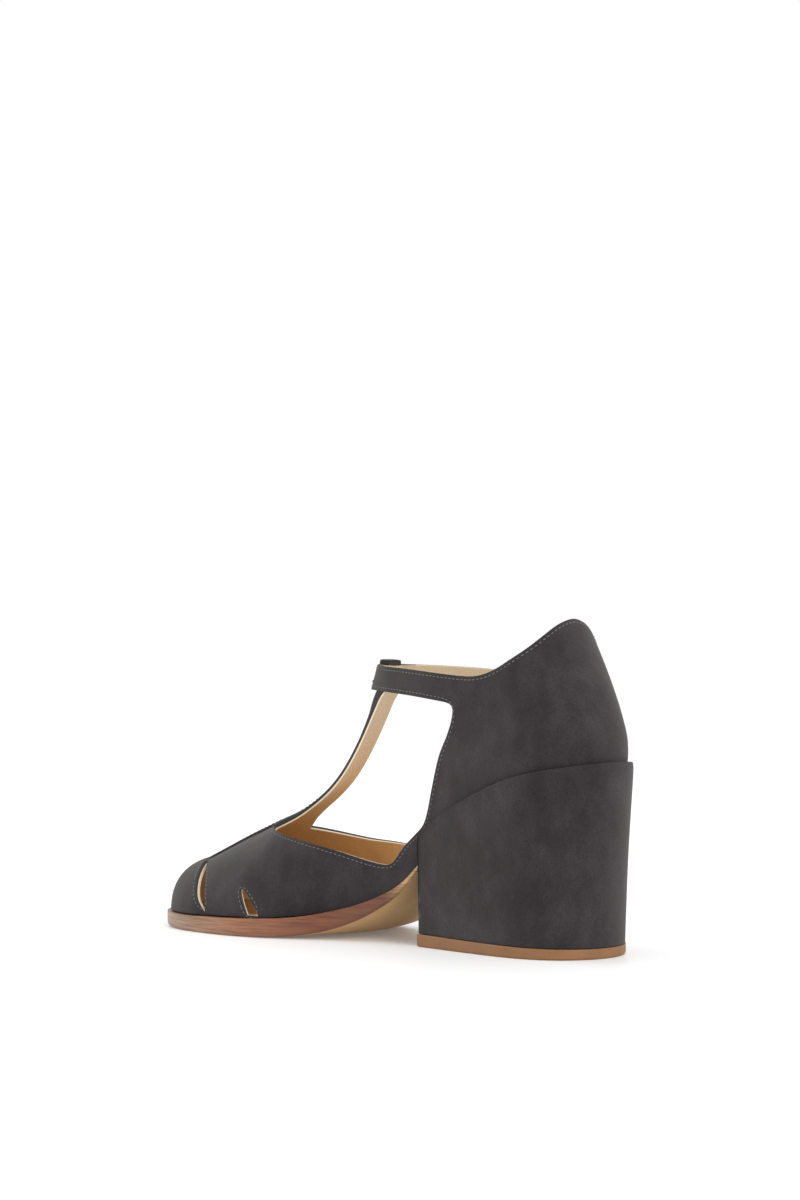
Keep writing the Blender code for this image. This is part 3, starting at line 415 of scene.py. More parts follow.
QUARTER_FRONT = (
    ("rise", "from_heel"),
    (0.20, 81.0),
    (0.28, 77.4),
    (0.38, 75.2),
    (0.49, 72.4),
    (0.62, 69.2),
    (0.73, 64.9),
    (0.84, 61.6),
    (1.0, 60.0),
)

HEEL_BACK = (
    ("height", "from_heel"),
    (68.8, 0.0),
    (73.0, -0.5),
    (79.0, -0.8),
    (86.0, -0.4),
    (94.0, 1.6),
    (103.0, 5.4),
    (113.0, 9.8),
    (122.0, 14.4),
    (134.0, 20.4),
)

COLLAR = (
    ("along", "height"),
    (0.0, 111.2),
    (0.16, 110.8),
    (0.32, 112.6),
    (0.45, 116.0),
    (0.60, 121.4),
    (0.75, 127.6),
    (0.88, 132.0),
    (1.0, 133.6),
)

ANKLE_STRAP = (
    ("from_heel", "bottom", "top"),
    (0.0, 99.8, 110.8),
    (60.0, 99.8, 111.2),
    (72.0, 101.2, 112.2),
    (90.0, 103.0, 113.6),
    (108.0, 104.0, 114.4),
    (122.0, 104.4, 114.8),
)

CENTRE_STRIP = (
    ("from_heel", "half_width"),
    (120.0, 4.6),
    (126.0, 4.7),
    (150.0, 4.7),
    (160.0, 5.0),
    (167.0, 6.2),
    (171.0, 8.2),
    (174.5, 10.7),
    (190.0, 11.4),
    (204.0, 12.4),
    (226.0, 13.0),
)

STRAP_LAYERS = (
    ("from_heel", "extra"),
    (120.6, 1.7),
    (122.8, 1.0),
    (125.0, 0.4),
    (130.5, 0.0),
)

STRAP_CROWN = (
    ("from_heel", "drop"),
    (121.0, 0.6),
    (150.0, 1.0),
    (165.0, 1.7),
    (177.0, 2.4),
)

OUTSOLE = (
    ("from_heel", "medial", "lateral", "edge", "belly"),
    (85.0, 18.6, 24.8, 2.0, 2.0),
    (91.0, 17.7, 24.5, 2.2, 3.8),
    (97.0, 17.6, 25.0, 3.4, 5.8),
    (107.0, 19.6, 27.6, 5.0, 7.8),
    (116.0, 22.0, 31.0, 6.3, 9.4),
    (125.0, 25.0, 34.6, 7.4, 10.4),
    (134.0, 28.8, 38.0, 7.9, 9.8),
    (141.0, 32.0, 39.9, 8.0, 8.4),
    (148.0, 35.4, 41.4, 8.1, 8.3),
    (158.0, 38.8, 42.2, 8.0, 8.0),
    (170.0, 40.4, 41.4, 8.0, 8.0),
    (184.0, 39.8, 39.2, 7.4, 7.4),
    (205.0, 34.6, 34.0, 6.6, 6.6),
    (220.0, 26.0, 26.0, 6.2, 6.2),
    (233.8, 0.0, 0.0, 5.1, 5.1),
)

HEEL_PLAN = (
    ("height", "back", "medial", "lateral", "breast_half"),
    (0.0, 0.0, 27.6, 29.8, 22.2),
    (40.0, -1.8, 28.6, 30.8, 22.8),
    (62.0, -3.4, 29.6, 31.8, 23.4),
    (78.0, -4.6, 30.4, 32.6, 23.8),
)

HEEL_TOP = 78.0           # the last height in the table

HEEL_RIM = (
    ("from_heel", "height"),
    (-4.6, 77.6),
    (4.0, 76.2),
    (15.0, 74.2),
    (30.0, 70.6),
    (45.0, 65.2),
    (58.0, 59.8),
    (75.0, 51.6),
    (83.5, 45.4),
)


print("rows in the table of the last:", len(LAST) - 1)

# %% Reading a table as a smooth curve
def column(table, name):
    """The first column of a table, and the named one."""
    k = table[0].index(name)
    return [row[0] for row in table[1:]], [row[k] for row in table[1:]]


def smooth(table, name, at):
    """A named column read at any place, as a smooth curve that never overshoots."""
    xs, ys = column(table, name)
    if at <= xs[0]:
        return ys[0]
    if at >= xs[-1]:
        return ys[-1]
    i = max(k for k in range(len(xs) - 1) if xs[k] <= at)
    steps = [(ys[k + 1] - ys[k]) / (xs[k + 1] - xs[k]) for k in range(len(xs) - 1)]

    def slope(k):
        before = steps[max(0, k - 1)]
        after = steps[min(len(steps) - 1, k)]
        if before * after <= 0:
            return 0.0
        return 2 * before * after / (before + after)

    span = xs[i + 1] - xs[i]
    u = (at - xs[i]) / span
    rise = ys[i] + (ys[i + 1] - ys[i]) * u * u * (3 - 2 * u)
    return rise + span * u * (1 - u) * (slope(i) * (1 - u) - slope(i + 1) * u)


def mix(a, b, t):
    return a + (b - a) * t


def ease(t):
    t = min(1.0, max(0.0, t))
    return t * t * (3 - 2 * t)


def place(x, station, z):
    """Shoe sizes in millimetres to a point in the frame."""
    return Vector(((x + FOOT_LINE) * MM, (HEEL_REST - station) * MM, z * MM))


def shoe_sizes(point):
    """A point in the frame back to x, station and height."""
    return point.x / MM - FOOT_LINE, HEEL_REST - point.y / MM, point.z / MM


def middle_line(station):
    """The last's middle, which fades to the heel-to-toe line at the heel's back."""
    return smooth(LAST, "middle", max(0.0, station)) * ease(station / 20)


print("tip of the last in the frame:", [round(c, 4) for c in place(0, LAST_TIP, 0)])

# %% Points on the last
def side_name(side):
    return "medial" if side > 0 else "lateral"


def feather_half(station, side):
    """Half width of the last's bottom from the heel-to-toe line."""
    if station <= TOE_START:
        return smooth(LAST, side_name(side), station)
    wide = smooth(LAST, side_name(side), TOE_START)
    reach = min(1.0, (station - TOE_START) / (LAST_TIP - TOE_START))
    return wide * (1 - reach ** TOE_POWER) ** (1 / TOE_POWER)


def section_height(x, station):
    """Height of the last over a place x from the heel-to-toe line."""
    middle = smooth(LAST, "middle", station)
    side = 1 if x >= middle else -1
    reach = abs(side * feather_half(station, side) - middle)
    share = min(1.0, abs(x - middle) / max(reach, 1e-6))
    power = smooth(LAST, "power", station)
    low = smooth(LAST, "feather", station)
    high = smooth(LAST, "ridge", station)
    return low + (high - low) * (1 - share ** power) ** (1 / power)


def section_x(station, height, side):
    """Where the last reaches a height on one side of a station."""
    middle = smooth(LAST, "middle", station)
    low = smooth(LAST, "feather", station)
    high = smooth(LAST, "ridge", station)
    power = smooth(LAST, "power", station)
    rise = min(1.0, max(0.0, (height - low) / (high - low)))
    reach = side * feather_half(station, side) - middle
    return middle + reach * (1 - rise ** power) ** (1 / power)


def last_path(foot, end, side, cells):
    """Points at even steps over the last, from feather station foot straight in
    plan to the place end, given as (x, station)."""
    start = (side * feather_half(foot, side), foot)
    line = []
    samples = 60
    for k in range(samples + 1):
        share = 1 - math.cos(math.pi / 2 * k / samples) ** 1.6
        x = mix(start[0], end[0], share)
        station = mix(start[1], end[1], share)
        line.append((x, station, section_height(x, station)))
    line[0] = (*start, smooth(LAST, "feather", foot))
    row = [place(*line[0])]
    for k in range(cells):
        row.append(place(*along(line, mix(FEATHER_BAND, 1.0, k / (cells - 1)))))
    return row


print("width of the last at the ball:", round(feather_half(160, 1) + feather_half(160, -1), 1), "mm")

# %% Points on the ankle
def strap_bottom(station):
    return smooth(ANKLE_STRAP, "bottom", station)


def ankle_half(station):
    """Half width of the opening at the ankle strap's level."""
    if station <= ANKLE_WIDE:
        return ANKLE_HALF
    reach = min(1.0, (station - ANKLE_WIDE) / (ANKLE_FRONT - ANKLE_WIDE))
    return ANKLE_HALF * (1 - reach ** ANKLE_POWER) ** (1 / ANKLE_POWER)


def quarter_half(station, rise, side):
    """Half width of the quarter about the middle line. rise is 0 at the feather,
    1 at the ankle strap's lower edge and more above it."""
    middle = smooth(LAST, "middle", station)
    low = smooth(LAST, side_name(side), station) - side * middle
    cup = 2.2 * math.sin(math.pi * min(1.0, rise)) ** 2 * ease((76 - station) / 40)
    return mix(low, ankle_half(station), ease(rise)) + cup - 0.6 * max(0.0, rise - 1)


def level_line(rise, front, side):
    """The quarter's level line as (x, station) from its front edge to the back."""
    height = mix(SEAT_BACK, STRAP_LOW, rise) if rise <= 1 else mix(STRAP_LOW, COLLAR_PEAK, rise - 1)
    back = smooth(HEEL_BACK, "from_heel", height)
    line = []
    steps = 24
    for k in range(steps):
        station = mix(front, HEEL_WIDE, k / steps)
        line.append((side * quarter_half(station, rise, side), station))
    wide = quarter_half(HEEL_WIDE, rise, side)
    for k in range(steps + 1):
        angle = math.pi / 2 * k / steps
        x = wide * math.cos(angle) ** (2 / HEEL_POWER)
        station = mix(HEEL_WIDE, back, math.sin(angle) ** (2 / HEEL_POWER))
        line.append((side * x, station))
    return line


def along(line, fraction):
    """The point at a fraction of a line's length."""
    lengths = [0.0]
    for a, b in zip(line, line[1:]):
        lengths.append(lengths[-1] + math.dist(a, b))
    want = fraction * lengths[-1]
    for k in range(len(line) - 1):
        if want <= lengths[k + 1] + 1e-9:
            t = (want - lengths[k]) / max(1e-9, lengths[k + 1] - lengths[k])
            return tuple(mix(a, b, t) for a, b in zip(line[k], line[k + 1]))
    return line[-1]


def quarter_point(rise, front, fraction, side):
    x, station = along(level_line(rise, front, side), fraction)
    if rise <= 1:
        z = mix(smooth(LAST, "feather", station), strap_bottom(station), rise)
    else:
        z = mix(strap_bottom(station), smooth(COLLAR, "height", fraction), rise - 1)
    return place(x + middle_line(station), station, z)


def ankle_point(angle, level, side):
    """A point of the ankle strap. angle is 0 at its front, a right angle at its
    widest, and level runs from 0 at the lower edge to 1 at the upper."""
    x = ANKLE_HALF * math.sin(angle) ** (2 / ANKLE_POWER)
    station = mix(ANKLE_WIDE, ANKLE_FRONT, math.cos(angle) ** (2 / ANKLE_POWER))
    station -= ANKLE_LEAN * level * math.cos(angle)
    z = mix(strap_bottom(station), smooth(ANKLE_STRAP, "top", station), level)
    x -= 0.6 * level * math.sin(angle)
    return place(side * x + smooth(LAST, "middle", station), station, z)


print("ankle opening:", 2 * ANKLE_HALF, "mm wide")

# %% [markdown]
# ## Panels of the upper
#
# The upper is drawn as a net of four-sided cells on the last: toe cap, wings, centre strip, T strap, ankle
# strap and quarter. A net like this is what a subdivision surface likes best. It could also be sculpted,
# but a net from the pattern's own sizes keeps the slits, the strap edges and the throat where the pattern
# puts them.

# %% A net of cells
def add_grid(mesh, rows, slot=0):
    """Quads between rows of points."""
    verts = [[mesh.verts.new(point) for point in row] for row in rows]
    for upper, lower in zip(verts, verts[1:]):
        for k in range(len(upper) - 1):
            face = mesh.faces.new((upper[k], upper[k + 1], lower[k + 1], lower[k]))
            face.material_index = slot


def make_piece(mesh, name, finishes, node, crease_angle, edge_round=0.0, crease=0.85, levels=2):
    """A net turned into a smooth piece that rides on the shoe and stands for a solid. Edges that turn by more
    than crease_angle stay sharp, or are rounded by edge_round millimetres."""
    bmesh.ops.remove_doubles(mesh, verts=mesh.verts, dist=0.01 * MM)
    bmesh.ops.recalc_face_normals(mesh, faces=mesh.faces)
    sharp = mesh.edges.layers.float.new("crease_edge")
    for edge in mesh.edges:
        if edge.is_manifold and edge.calc_face_angle() > math.radians(crease_angle):
            edge[sharp] = 1.0 if edge_round else crease
    data = bpy.data.meshes.new(name)
    mesh.to_mesh(data)
    mesh.free()
    data.shade_smooth()
    for finish in finishes:
        data.materials.append(finish)
    piece = bpy.data.objects.new(name, data)
    scene.collection.objects.link(piece)
    rounder = piece.modifiers.new("rounder", "SUBSURF")
    rounder.levels = rounder.render_levels = levels
    if edge_round:
        softener = piece.modifiers.new("edge_round", "BEVEL")
        softener.width = edge_round * MM
        softener.segments = 2
        softener.limit_method = "ANGLE"
        softener.angle_limit = math.radians(crease_angle)
    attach(piece, "root")
    if node:
        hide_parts(node)
    return piece


print("cells up a wing:", WING_CELLS)

# %% Slits and wings
SLITS = {
    "cap": {"first": 1, "last": WING_CELLS - 1, "forward": 5.8, "back": -0.6, "lean": 0.0},
    "drop": {"first": 1, "last": 4, "forward": 0.8, "back": 5.0, "lean": 7.4},
}
DROP_LINE = 163.4
VAMP_END = 171.5          # last row before the drop-shaped opening
WING_STATIONS = (153.0, 146.0, 138.0, 130.0, 121.0, 112.0, 105.0, 100.0, 96.0, 92.5, 89.0, 85.0, 81.0)
FEATHER_BAND = 0.018      # share of a wing's height that stays whole at the sole
STEP_WIDE = 0.8           # width of the overlay's stepped edge


def slit_shift(slit, j, way):
    """How far a slit's edge lies from its line, forward or back, at column j."""
    reach = (j - slit["first"]) / (slit["last"] - slit["first"])
    if slit is SLITS["cap"]:
        wide = math.sin(math.pi * min(1.0, max(0.0, reach)) ** 0.55)
    else:
        wide = 1 - reach ** 2 if 0 <= reach <= 1 else 0.0
    lean = slit["lean"] * min(max(reach, 0.0), 1.0) * (1 - ease((reach - 1) / 2))
    return lean + slit[way] * wide * (1 if way == "forward" else -1)


def strip_half(station):
    return smooth(CENTRE_STRIP, "half_width", station)


def inner_end(foot, top, side):
    """Where a wing's row ends, as (x, station): on the centre strip's edge before
    the throat, and on the wing's own top edge behind it."""
    if top >= THROAT:
        fan = min(1.0, (FIRST_TOP - top) / (FIRST_TOP - CAP_TOP))
        half = strip_half(top) * math.sin(math.pi / 2 * fan)
        return smooth(LAST, "middle", top) + side * half, top
    return section_x(foot, smooth(WING_EDGE, side_name(side), foot), side), foot


def wing_row(foot, top, side, slit=None, way=None):
    row = last_path(foot, inner_end(foot, top, side), side, WING_CELLS)
    if not slit:
        return row
    shifted = [row[0]]
    for j, point in enumerate(row[1:], start=1):
        x, before, _ = shoe_sizes(point)
        station = before + slit_shift(slit, j, way)
        x *= feather_half(station, side) / feather_half(before, side)
        shifted.append(place(x, station, section_height(x, station)))
    return shifted


def toe_stations():
    """Feather, strip edge and ridge stations of the rows from tip to cap slit."""
    last_reach = (CAP_LINE - TOE_START) / (LAST_TIP - TOE_START)
    last_angle = math.asin(last_reach ** (TOE_POWER / 2))
    rows = []
    for k in range(TOE_ROWS + 1):
        t = k / TOE_ROWS
        angle = mix(math.pi / 2, last_angle, t)
        foot = mix(TOE_START, LAST_TIP, math.sin(angle) ** (2 / TOE_POWER))
        rows.append((foot, mix(FIRST_TOP, CAP_TOP, t), mix(FIRST_RIDGE, CAP_RIDGE, t)))
    return rows


def vamp_stations():
    """The same between the cap's slit and the throat."""
    rows = []
    for k in range(1, VAMP_ROWS + 1):
        t = k / VAMP_ROWS
        foot = mix(CAP_LINE, THROAT, t)
        rows.append((foot, mix(CAP_TOP, THROAT, t), mix(CAP_RIDGE, THROAT, t)))
    return rows


def wing_panels(side):
    """The toe cap's side, the wing and the waist band, as three grids."""
    cap = [wing_row(foot, top, side) for foot, top, _ in toe_stations()[:-1]]
    cap.append(wing_row(CAP_LINE, CAP_TOP, side, SLITS["cap"], "forward"))
    wing = [wing_row(CAP_LINE, CAP_TOP, side, SLITS["cap"], "back")]
    wing += [wing_row(foot, top, side) for foot, top, _ in vamp_stations()]
    wing.append(wing_row(VAMP_END, VAMP_END, side))
    wing.append(wing_row(DROP_LINE, DROP_LINE, side, SLITS["drop"], "forward"))
    band = [wing_row(DROP_LINE, DROP_LINE, side, SLITS["drop"], "back")]
    band += [wing_row(foot, foot, side) for foot in WING_STATIONS]
    return cap, wing, band


print("rows of the cap, wing and band:", [len(rows) for rows in wing_panels(1)])

# %% Centre strip and T strap
def strip_offsets(half):
    return (half, half - STEP_WIDE, half * 0.45, 0.0)


def strip_rows(side):
    """The centre strip on the vamp, from the tip back to the throat."""
    rows = []
    for foot, top, ridge in toe_stations() + vamp_stations():
        edge = inner_end(foot, top, side)
        inner = (smooth(LAST, "middle", ridge), ridge)
        half = strip_half(top)
        row = []
        for offset in strip_offsets(half):
            share = 1 - offset / half
            x = mix(edge[0], inner[0], share)
            station = mix(edge[1], inner[1], share)
            row.append(place(x, station, section_height(x, station)))
        rows.append(row)
    return rows


STRAP_STATIONS = (173.0, 168.0, 163.0, 158.0, 153.0, 148.0, 143.0, 138.5, 134.0, 130.5, 127.5, 125.0,
                  122.8, 120.6)


def strap_frame(station):
    """Middle of the T strap at a station, and the direction that it faces."""
    slope = (smooth(LAST, "ridge", station + 1) - smooth(LAST, "ridge", station - 1)) / 2
    facing = Vector((0.0, slope, 1.0)).normalized()
    return place(smooth(LAST, "middle", station), station, smooth(LAST, "ridge", station)), facing


def strap_point(station, offset, side):
    middle, facing = strap_frame(station)
    half = strip_half(station)
    drop = smooth(STRAP_CROWN, "drop", station) * (offset / half) ** 2
    return middle + Vector((side * offset * MM, 0, 0)) - facing * drop * MM


print("rows of the T strap:", len(STRAP_STATIONS))

# %% Ankle strap, fold and quarter
def front_angles():
    """Angles at which the ankle strap meets the T strap's edges and middle."""
    offsets = strip_offsets(strip_half(ANKLE_FRONT))
    return [math.asin((offset / ANKLE_HALF) ** (ANKLE_POWER / 2)) for offset in offsets]


def loop_column(angle, levels, side):
    """A column of the ankle strap where the T strap lines it."""
    points = []
    for level in levels:
        tuck = mix(TUCK, TUCK_TOP, level)
        points.append(ankle_point(angle, level, side) + Vector((0.0, tuck * MM, 0.0)))
    return points


def strap_rows(side):
    """The T strap from the throat up to the ankle strap."""
    rows = [strip_rows(side)[-1]]
    for station in STRAP_STATIONS:
        rows.append([strap_point(station, offset, side) for offset in strip_offsets(strip_half(station))])
    rows.append([loop_column(angle, (0.0,), side)[0] for angle in front_angles()])
    return rows


def ankle_rows(side):
    """The ankle strap from the T strap's middle back to the quarter's corner."""
    levels = [k / STRAP_CELLS for k in range(STRAP_CELLS + 1)]
    rows = [loop_column(angle, levels, side) for angle in reversed(front_angles())]
    start = front_angles()[0]
    rows.append([ankle_point(start + 0.035, level, side) for level in levels])
    for k in range(1, ANKLE_CELLS + 1):
        angle = mix(start, math.pi / 2, (k / ANKLE_CELLS) ** 0.8)
        rows.append([ankle_point(angle, level, side) for level in levels])
    corner = [quarter_point(1 + k / STRAP_CELLS, QUARTER_TOP, 0.0, side) for k in range(STRAP_CELLS + 1)]
    rows[-1] = corner
    return rows


def quarter_rows(side):
    """The quarter from the feather line up to the collar."""
    rows = []
    fronts = column(QUARTER_FRONT, "from_heel")
    upper = len(fronts[0]) - 1
    first_column = wing_row(QUARTER_SEAM, QUARTER_SEAM, side)
    for r in range(WING_CELLS + upper + 1):
        if r <= WING_CELLS:
            rise_front = 0.20 * r / WING_CELLS
            front = QUARTER_SEAM
        else:
            rise_front = fronts[0][r - WING_CELLS]
            front = fronts[1][r - WING_CELLS]
        rise_back = (r / (WING_CELLS + upper)) ** 0.85
        row = []
        for q in range(QUARTER_CELLS + 1):
            fraction = q / QUARTER_CELLS
            rise = mix(rise_front, rise_back, ease(fraction / 0.6))
            row.append(quarter_point(rise, front, fraction, side))
        if r <= WING_CELLS:
            row[0] = first_column[r]
        rows.append(row)
    for k in range(1, STRAP_CELLS + 1):
        rise = 1 + k / STRAP_CELLS
        rows.append([quarter_point(rise, QUARTER_TOP, q / QUARTER_CELLS, side)
                     for q in range(QUARTER_CELLS + 1)])
    return rows


def loop_rows(side):
    """The T strap's end, folded over the ankle strap and standing just above it."""
    rows = []
    levels = [1 + LOOP_RISE * k / 2 for k in range(3)]
    for angle in reversed(front_angles()[1:]):
        rows.append(loop_column(angle, levels, side))
    return rows


def overlay_thickness(point):
    """Wall over the last where the toe cap, centre strip and T strap lie on it."""
    _, station, _ = shoe_sizes(point)
    folded = smooth(STRAP_LAYERS, "extra", station)
    return mix(WALL, WALL + OVERLAY, ease((station - 160) / 16)) + folded


def key(point):
    """A point to a hundredth of a millimetre, to find it again in the mesh."""
    return tuple(round(c / MM, 2) for c in point)


print("rows of the quarter:", len(quarter_rows(1)))

# %% [markdown]
# ## The upper's wall
#
# The net becomes a real wall: lining inside, suede outside, thicker where the toe cap, the centre strip and
# the folded T strap lie on it. A Subdivision Surface rounds the net first, then Solidify gives it its
# thickness, and a small bevel breaks the cut edges so that they catch the light. Each corner of the wall
# also keeps its depth in millimetres, 0 on the lining's side, so the edge's material can show pale lining
# under dark suede.

# %% Stitch the panels into one net
SLIT_CORNER = 1.0         # creases that keep corners of the net from rounding
WINDOW_CORNER = 0.2


def upper_net():
    """All panels joined, the wall's thickness at each point, and what stays sharp."""
    mesh = bmesh.new()
    thick_at, steps, sharp_lines, corners = {}, set(), [], {}
    for side in (1, -1):
        cap, wing, band = wing_panels(side)
        under_drop = [wing[-1][:2], band[0][:2]]
        for panel in (cap, wing, band, under_drop):
            add_grid(mesh, panel)
        for row in cap[:-1]:
            thick_at.update({key(point): WALL + OVERLAY for point in row})
        thick_at.update({key(point): WALL + OVERLAY for point in cap[-1][2:-2]})
        for rows in (strip_rows(side), strap_rows(side)):
            add_grid(mesh, rows)
            for row in rows:
                thick_at.update({key(point): overlay_thickness(point) for point in row[1:]})
        for row in strap_rows(side)[1:]:
            thick_at[key(row[0])] = WALL + smooth(STRAP_LAYERS, "extra", shoe_sizes(row[0])[1])
        # the centre strip's stepped edge is kept aside here to get a painted shadow line
        seam = strip_rows(side)[TOE_ROWS:]
        for a, b in zip(seam, seam[1:]):
            steps.add(key(sum((a[0], a[1], b[0], b[1]), Vector()) / 4))
            for k in (0, 1):
                sharp_lines.append((key(a[k]), key(b[k])))
        for point in (wing[-1][1], band[0][1], cap[-1][1], cap[-1][-2]):
            corners[key(point)] = SLIT_CORNER
        strap = ankle_rows(side)
        corners[key(strap[-1][0])] = WINDOW_CORNER
        for rows in (strap, quarter_rows(side), loop_rows(side)):
            add_grid(mesh, rows)
        low, high = strap[0][0].z, strap[0][-1].z
        for row in strap[:3] + loop_rows(side):
            for point in row:
                level = min(1.0, (point.z - low) / (high - low))
                thick_at[key(point)] = mix(LOOP_THICK, LOOP_THICK_TOP, level)
    bmesh.ops.remove_doubles(mesh, verts=mesh.verts, dist=0.01 * MM)
    bmesh.ops.recalc_face_normals(mesh, faces=mesh.faces)
    for face in mesh.faces:
        # slot 3 is darker suede painted on the strip's step as its shadow line
        face.material_index = 3 if key(face.calc_center_median()) in steps else 1
    sharp = mesh.edges.layers.float.new("crease_edge")
    tip = mesh.verts.layers.float.new("crease_vert")
    at = {key(vert.co): vert for vert in mesh.verts}
    for a, b in sharp_lines:
        edge = mesh.edges.get((at[a], at[b]))
        edge[sharp] = 1.0
    for point, strength in corners.items():
        at[point][tip] = strength
    return mesh, thick_at


net, thick_at = upper_net()
net_data = bpy.data.meshes.new("upper_net")
net.to_mesh(net_data)
net.free()
upper_work = bpy.data.objects.new("upper_net", net_data)
scene.collection.objects.link(upper_work)
thickness = upper_work.vertex_groups.new(name="thickness")
for vert in net_data.vertices:
    thickness.add([vert.index], thick_at.get(key(vert.co), WALL) / LOOP_THICK, "REPLACE")
print("cells in the net:", len(net_data.polygons))

# %% Round the net and give it a wall
def evaluated(thing):
    graph = bpy.context.evaluated_depsgraph_get()
    return bpy.data.meshes.new_from_object(thing.evaluated_get(graph), depsgraph=graph)


rounder = upper_work.modifiers.new("rounder", "SUBSURF")
rounder.levels = rounder.render_levels = 2
sheet = evaluated(upper_work)
wall = upper_work.modifiers.new("wall", "SOLIDIFY")
wall.thickness = LOOP_THICK * MM
wall.offset = 1.0
wall.vertex_group = "thickness"
wall.use_even_offset = True
wall.use_quality_normals = True
shell = evaluated(upper_work)
bpy.data.objects.remove(upper_work)
count = len(sheet.vertices)
print("wall has", len(shell.vertices), "points for", count, "of the sheet")

# %% [markdown]
# ## Soft creases
#
# Worn suede sinks a little where the foot bends it. Each crease is a row of a table: a line on one side of
# the upper, how wide it fades out and how deep it goes in millimetres. Below zero it is a soft swelling.
# Both faces of the wall move together along the wall's own direction, so its thickness stays.

# %% Press the creases into the wall
CREASES = (
    ("side", "station", "height", "to_station", "to_height", "wide", "deep"),
    (1, 160.0, 34.0, 152.0, 20.0, 3.2, 0.35),
    (1, 151.0, 36.0, 141.0, 22.0, 2.6, 0.25),
    (-1, 161.0, 33.0, 153.0, 19.0, 3.2, 0.35),
    (-1, 150.0, 34.0, 142.0, 20.0, 2.6, 0.25),
    (1, 20.0, 96.0, 44.0, 88.0, 5.0, 0.45),
    (1, 30.0, 112.0, 50.0, 106.0, 6.0, -0.35),
    (-1, 22.0, 95.0, 46.0, 89.0, 5.0, 0.45),
    (1, 64.0, 84.0, 70.0, 66.0, 4.0, 0.30),
    (-1, 64.0, 84.0, 70.0, 66.0, 4.0, 0.30),
)
MIDDLE_BAND = 2.0         # no crease comes closer to the heel-to-toe line


def crease_depth(point):
    """How far the soft creases sink a point of the upper, in millimetres."""
    x, station, z = shoe_sizes(point)
    here = Vector((station, z))
    deep = 0.0
    for row in CREASES[1:]:
        crease = dict(zip(CREASES[0], row))
        if crease["side"] * x < MIDDLE_BAND:
            continue
        start = Vector((crease["station"], crease["height"]))
        end = Vector((crease["to_station"], crease["to_height"]))
        t = min(1.0, max(0.0, (here - start).dot(end - start) / (end - start).length_squared))
        away = (here - start.lerp(end, t)).length / crease["wide"]
        deep += crease["deep"] * math.exp(-away ** 2)
    return deep


for number in range(2 * count):
    resting = sheet.vertices[number % count]
    shell.vertices[number].co -= resting.normal * crease_depth(resting.co) * MM
outer_first = (shell.vertices[0].co - sheet.vertices[0].co).length > MM
outer_at = [shell.vertices[k + (0 if outer_first else count)].co.copy() for k in range(count)]
print("deepest crease:", round(max(crease_depth(v.co) for v in sheet.vertices), 2), "mm")

# %% Dress the wall
CAP_BACK = HEEL_REST - 184.0
TURNED_CAP = 0.46         # the cap's lining is turned over its edge, so more of it shows
RIM_BEVEL = 0.28
FOLD_ROUNDING = 6
front = [point for row in loop_rows(1) + loop_rows(-1) for point in row]
LOOP_TOP = min(point.z for point in front) / MM + 0.5   # above it the fold stands over the ankle strap
FOLD_BACK = max(point.y for point in front) / MM + 1.5
print("fold stands above", round(LOOP_TOP, 1), "and before", round(FOLD_BACK, 1))


def in_fold(point, margin=0.0):
    return point.z > (LOOP_TOP - margin) * MM and point.y < FOLD_BACK * MM


def dress_shell(shell, count):
    """Lining inside, suede outside and the cut edge between them."""
    mesh = bmesh.new()
    mesh.from_mesh(shell)
    depth = mesh.verts.layers.float.new("depth")
    mesh.verts.ensure_lookup_table()
    for vert in mesh.verts:
        outer = (vert.index < count) == outer_first
        through = (vert.co - mesh.verts[(vert.index + count) % (2 * count)].co).length / MM
        if vert.co.y < CAP_BACK * MM:
            through *= TURNED_CAP
        vert[depth] = through if outer else 0.0
    rims = []
    for face in mesh.faces:
        inner = [vert[depth] == 0.0 for vert in face.verts]
        if any(inner):
            face.material_index = 0 if all(inner) else 2
        face.smooth = True
    for edge in mesh.edges:
        kinds = [face.material_index == 2 for face in edge.link_faces]
        if len(kinds) == 2 and kinds[0] != kinds[1]:
            rims.append(edge)
    bmesh.ops.bevel(mesh, geom=rims, offset=RIM_BEVEL * MM, segments=2, profile=0.6, affect="EDGES",
                    clamp_overlap=True, material=2)
    rounded = [vert for vert in mesh.verts if in_fold(vert.co)]
    for _ in range(FOLD_ROUNDING):
        bmesh.ops.smooth_vert(mesh, verts=rounded, factor=0.5, use_axis_x=True, use_axis_y=True,
                              use_axis_z=True)
    for face in mesh.faces:
        if in_fold(face.calc_center_median(), 0.6):
            face.material_index = 1
    mesh.to_mesh(shell)
    mesh.free()


dress_shell(shell, count)
# a darker copy of the suede: painted shadow along the centre strip's stepped edge
seam_shadow = make_suede("charcoal_suede_painted_step_shadow", (0.011, 0.0092, 0.0098), (0.016, 0.0135, 0.0145))
for finish in (lining, suede, wall_edge, seam_shadow):
    shell.materials.append(finish)
upper = bpy.data.objects.new("upper_suede_and_lining", shell)
scene.collection.objects.link(upper)
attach(upper, "root")
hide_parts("upper")
print("triangles in the wall:", sum(len(p.vertices) - 2 for p in shell.polygons))

# %% [markdown]
# ## Stitches
#
# A maker stitches lining and suede together close to every open edge, in thread a little paler than the
# suede. From a step away the rows read as fine pale dots. They could be painted on with bump, but real
# little stitches catch the light from every side and follow the edges exactly: each row is the edge's own
# line, moved inward over the surface, and each stitch is a small spindle lying along it.

# %% Find the open edges
def open_edges(data):
    """Loops of the sheet's border, each as a list of vertex numbers."""
    mesh = bmesh.new()
    mesh.from_mesh(data)
    left = {edge for edge in mesh.edges if edge.is_boundary}
    loops = []
    while left:
        edge = left.pop()
        start, here = edge.verts
        loop = [start.index, here.index]
        while here != start:
            edge = next(e for e in here.link_edges if e in left)
            left.remove(edge)
            here = edge.other_vert(here)
            if here != start:
                loop.append(here.index)
        loops.append(loop)
    mesh.free()
    return loops


